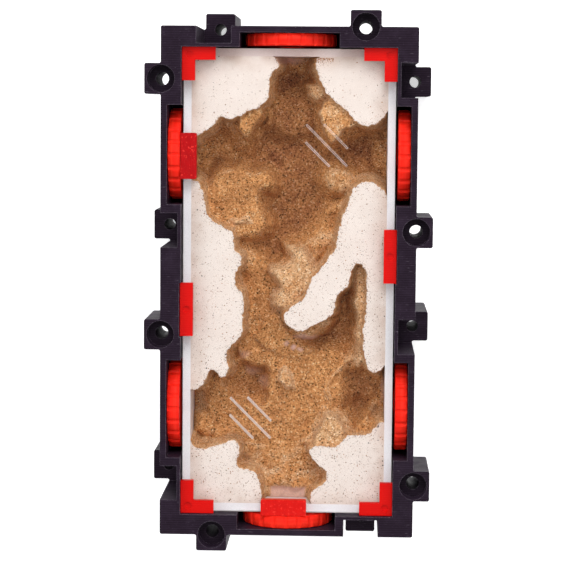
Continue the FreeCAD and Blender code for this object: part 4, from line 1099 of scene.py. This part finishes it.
def river_sand():
    """Sand of mixed grains, from damp and shaded through dry to bleached and lit, as the mesh says."""
    finish, tree = new_finish("river_sand")
    place = add(tree, "TexCoord").outputs["Object"]
    # the dryness, with painted light on the high places and painted shade in the deep ones
    dry_and_lit_part = add(tree, "Attribute", attribute_name="dryness_and_light").outputs["Fac"]
    # film: the painted sheen and the painted pink glow, read from the mesh
    film = add(tree, "Attribute", attribute_name="milky").outputs["Fac"]
    grains = add(tree, "TexVoronoi", {"Vector": place, "Scale": grain_scale(GRAIN), "Randomness": 1.0})
    kind = add(tree, "SeparateColor", {0: grains.outputs["Color"]}).outputs
    patches = add(tree, "TexNoise", {"Vector": place, "Scale": grain_scale(PATCH), "Detail": 6.0,
                                     "Roughness": 0.62})
    dusty = add(tree, "TexNoise", {"Vector": place, "Scale": grain_scale(DUST), "Detail": 5.0,
                                   "Roughness": 0.7})
    damp_and_shaded_grains = add(tree, "ValToRGB", {0: kind["Red"]}, stops=DAMP_AND_SHADED)
    dry_grains = add(tree, "ValToRGB", {0: kind["Red"]}, stops=DRY)
    bleached_and_lit_grains = add(tree, "ValToRGB", {0: kind["Red"]}, stops=BLEACHED_AND_LIT)
    mottled = add(tree, "MapRange", {"Value": patches, "From Min": 0.3, "From Max": 0.7, "To Min": -0.16,
                                     "To Max": 0.16})
    dry_and_lit_patchy = add(tree, "Math", {0: dry_and_lit_part, 1: mottled}, operation="ADD", use_clamp=True)
    tint = coated(tree, damp_and_shaded_grains,
                  (add(tree, "ValToRGB", {0: dry_and_lit_patchy}, stops=((0.0, 0.0), (0.8, 1.0))), dry_grains),
                  (add(tree, "ValToRGB", {0: dry_and_lit_patchy}, stops=((0.78, 0.0), (1.0, 1.0))), bleached_and_lit_grains))
    shade = add(tree, "ValToRGB", {0: dusty}, stops=((0.3, 0.72), (0.7, 1.12)))
    tint = add(tree, "Mix", {FACTOR: 1.0, FIRST: tint, SECOND: shade}, data_type="RGBA",
               blend_type="MULTIPLY")
    brown, _ = speck_layer(tree, place, *BROWN_GRAINS)
    black, _ = speck_layer(tree, place, *BLACK_GRAINS)
    # the last coat is the painted sheen and pink glow
    tint = coated(tree, tint,
                  (add(tree, "Math", {0: brown, 1: 0.5}, operation="MULTIPLY"), "#5a2c17"),
                  (add(tree, "Math", {0: black, 1: 0.8}, operation="MULTIPLY"), "#22150e"),
                  (film, "#dcb6aa"))
    hump = add(tree, "Math", {0: 1.0, 1: grains}, operation="SUBTRACT")
    relief = add(tree, "Mix", {FACTOR: 0.35, FIRST: hump, SECOND: dusty}, data_type="RGBA")
    bump = add(tree, "Bump", {"Height": relief, "Strength": 1.0, "Distance": SAND_RELIEF * MM})
    rough = add(tree, "ValToRGB", {0: kind["Green"]}, stops=((0.75, 0.9), (0.95, 0.35)))
    shader = add(tree, "BsdfPrincipled", {"Base Color": tint, "Roughness": rough, "IOR": 1.54,
                                          "Specular IOR Level": 0.1, "Normal": bump})
    add(tree, "OutputMaterial", {"Surface": shader})
    return finish


sand_mesh.materials.append(river_sand())
print("sand dressed")

# %% [markdown]
# ## Stray grains on the plaster
# Grains of sand have fallen on the plaster and stuck. Most lie within a few millimetres of the broken
# edge, some are scattered, thickest towards the front, and a few have been swept against the back wall.
# They are real little solids, half sunk into the plaster, so that the edge looks crumbly from every
# side. A seeded random generator places them, and a search for plaster below keeps only those that have
# something to lie on.

# %% Stray grains
GRAIN_COUNT, SWEPT_COUNT = 8000, 300
SWEPT_SPAN, SWEPT_CLEAR, SWEPT_SPREAD = (7.5, 17.0), 0.6, 0.6
STRAYED_SPREAD, TO_THE_FRONT = 0.9, 1.5
GRAIN_SUNK, GRAIN_HALF_HIGH = 0.04, 0.09
GRAIN_SIZES = (0.14, 0.36)
WALL_CLEAR = 0.5
chance = np.random.default_rng(7)
edge_points = np.array([p for bank in banks for p in bank if not on_wall(*p)])
beside_edge = edge_points[chance.integers(len(edge_points), size=GRAIN_COUNT * 3 // 5)]
strayed = chance.normal(0, 1, beside_edge.shape)
beside_edge = beside_edge + strayed * chance.exponential(STRAYED_SPREAD, (len(beside_edge), 1))
scattered = np.stack([chance.uniform(-HALF_WIDTH, HALF_WIDTH, GRAIN_COUNT),
                      HALF_LENGTH - 2 * HALF_LENGTH * chance.power(TO_THE_FRONT, GRAIN_COUNT)], axis=1)
swept = np.stack([chance.uniform(*SWEPT_SPAN, SWEPT_COUNT),
                  HALF_LENGTH - SWEPT_CLEAR - chance.exponential(SWEPT_SPREAD, SWEPT_COUNT)], axis=1)
octahedron = np.array([(1, 0, 0), (0, 1, 0), (-1, 0, 0), (0, -1, 0), (0, 0, 1), (0, 0, -1)], float)
octahedron_faces = np.array([(n, (n + 1) % 4, 4) for n in range(4)] +
                            [((n + 1) % 4, n, 5) for n in range(4)])
grain_points, grain_faces = [], []
for x, y in np.concatenate([beside_edge, scattered, swept]):
    top = plaster_below(x, y)
    beside = min(HALF_WIDTH - abs(x), HALF_LENGTH - abs(y))
    if top is None or top < RIM - TOUCHING or beside < WALL_CLEAR:
        continue
    size = chance.uniform(*GRAIN_SIZES)
    turn = chance.uniform(0, math.pi)
    wide, narrow = size * math.cos(turn), size * math.sin(turn)
    axes = np.array([(wide, narrow, 0), (-0.8 * narrow, 0.8 * wide, 0), (0, 0, GRAIN_HALF_HIGH)])
    grain_faces.append(octahedron_faces + len(octahedron) * len(grain_points))
    grain_points.append(octahedron @ axes + (x, y, RIM - GRAIN_SUNK))
points, faces = np.concatenate(grain_points) * MM, np.concatenate(grain_faces)
grain_mesh = bpy.data.meshes.new("stray_grains")
grain_mesh.from_pydata(points.tolist(), [], faces.tolist())
grain_mesh.materials.append(sand_mesh.materials[0])
grains_dry = grain_mesh.attributes.new("dryness_and_light", "FLOAT", "POINT")
each_dry = chance.choice([0.0, 0.2, 0.5], len(grain_points))
grains_dry.data.foreach_set("value", np.repeat(each_dry, len(octahedron)))
stray_grains = show("stray_grains", grain_mesh)
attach(stray_grains, "habitat")
print(f"{len(grain_points)} stray grains")

# %% [markdown]
# ## Studio floor
# The module lies on a pale sheet, large enough to fill every view. Paper that is lit just enough to
# look white would throw too much light up at the object, so the paper glows a little, but only for a
# ray of the camera, of gloss or through glass. The other rays meet plain paper.

# %% Studio floor
FLOOR_HALF, FLOOR_DROP = 4.0, 0.0002
FLOOR_GLOW = 0.62


def seen_ray(tree):
    """1 for a ray of the camera, of gloss or through glass, and 0 for a ray that lights something."""
    ray = add(tree, "LightPath").outputs
    either = add(tree, "Math", {0: ray["Is Glossy Ray"], 1: ray["Is Transmission Ray"]},
                 operation="MAXIMUM")
    return add(tree, "Math", {0: ray["Is Camera Ray"], 1: either}, operation="MAXIMUM")


def floor_paper():
    """Pale paper that glows only where it is seen."""
    finish, tree = new_finish("pale_paper")
    paper = add(tree, "BsdfDiffuse", {"Color": "#f7f7f7"})
    glow = add(tree, "Emission", {"Color": "#ffffff", "Strength": FLOOR_GLOW})
    lit = add(tree, "AddShader", {0: paper, 1: glow})
    chosen = add(tree, "MixShader", {0: seen_ray(tree), 1: paper, 2: lit})
    add(tree, "OutputMaterial", {"Surface": chosen})
    return finish


floor_corners = [(x * FLOOR_HALF, y * FLOOR_HALF, -FLOOR_DROP) for x, y in
                 ((-1, -1), (1, -1), (1, 1), (-1, 1))]
floor_mesh = bpy.data.meshes.new("studio_floor")
floor_mesh.from_pydata(floor_corners, [], [(0, 1, 2, 3)])
floor_mesh.materials.append(floor_paper())
floor = show("studio_floor", floor_mesh)
print(f"floor of {2 * FLOOR_HALF:.0f} x {2 * FLOOR_HALF:.0f} m")

# %% [markdown]
# ## World and softboxes
# The light is wide and even. There are four softboxes: one above, a strong one behind that lights the
# discs' back flanks more than their front ones, and one on each side. None of them shows in gloss or
# through the cover. The world's light is even from all round. What the cover mirrors of it is dimmer
# straight overhead, as under a black ceiling, so that no white haze lies on the cover. Together they are
# set so that a level face comes out about as light as its colour is written.

# %% World and softboxes
SKY = 0.36
DIM_FROM, DIMMEST_AT, DIMMEST = 0.6, 0.94, 0.05
AIM = Vector((0.0, 0.0, 0.05))
SOFTBOXES = (
    # name, place in metres, side in metres, watts
    ("softbox_above", (0.0, 0.1, 1.6), 1.0, 5.2),
    ("softbox_behind", (0.15, 1.0, 1.1), 0.8, 13.0),
    ("softbox_left", (-1.1, 0.2, 1.0), 0.8, 6.0),
    ("softbox_right", (1.1, 0.0, 1.0), 0.8, 4.5),
)


def softbox(name, place, size, power):
    """A square lamp that looks at the middle of the module and shows in no mirror or gloss."""
    lamp = bpy.data.lights.new(name, "AREA")
    lamp.shape = "SQUARE"
    lamp.size = size
    lamp.energy = power
    holder = show(name, lamp)
    holder.location = place
    holder.rotation_euler = (AIM - Vector(place)).to_track_quat("-Z", "Y").to_euler()
    holder.visible_glossy = False
    holder.visible_transmission = False


world = bpy.data.worlds.new("studio_light")
bpy.context.scene.world = world
world.use_nodes = True
sky = world.node_tree
sky.nodes.clear()
upward = add(sky, "SeparateXYZ", {0: add(sky, "TexCoord").outputs["Generated"]}).outputs["Z"]
ceiling = add(sky, "MapRange", {"Value": upward, "From Min": DIM_FROM, "From Max": DIMMEST_AT,
                                "To Min": 1.0, "To Max": DIMMEST})
even = add(sky, "Background", {"Color": "#ffffff", "Strength": SKY})
white = add(sky, "Background", {"Color": "#ffffff", "Strength": ceiling})
both = add(sky, "MixShader", {0: seen_ray(sky), 1: even, 2: white})
add(sky, "OutputWorld", {"Surface": both})
for box in SOFTBOXES:
    softbox(*box)
print(f"world and {len(SOFTBOXES)} softboxes")

# %% [markdown]
# ## Camera
# A longish lens looks almost straight down from 0.86 m above the surface, a little towards the back and
# the right of the module, so that a little of the walls' inner sides shows. The field of view belongs to
# a 126 mm lens on a square sensor 36 mm wide.

# %% Camera
LENS, SENSOR = 125.8, 36.0
ROLL, PITCH, YAW = 0.642, -5.08, 2.017
CAMERA_PLACE = (0.02558, 0.06874, 0.85505)
FARTHEST = 50.0
camera_data = bpy.data.cameras.new("above_the_module")
camera_data.lens = LENS
camera_data.sensor_width = SENSOR
camera_data.clip_end = FARTHEST
camera = show("above_the_module", camera_data)
roll, pitch, yaw = (math.radians(angle) for angle in (ROLL, PITCH, YAW))
turned = Matrix.Rotation(roll, 4, "Z") @ Matrix.Rotation(pitch, 4, "X") @ Matrix.Rotation(yaw, 4, "Y")
camera.matrix_world = Matrix.Translation(CAMERA_PLACE) @ turned
bpy.context.scene.camera = camera
bpy.context.scene.view_settings.view_transform = "Standard"
print(f"camera at {CAMERA_PLACE} m with a {LENS:.0f} mm lens")
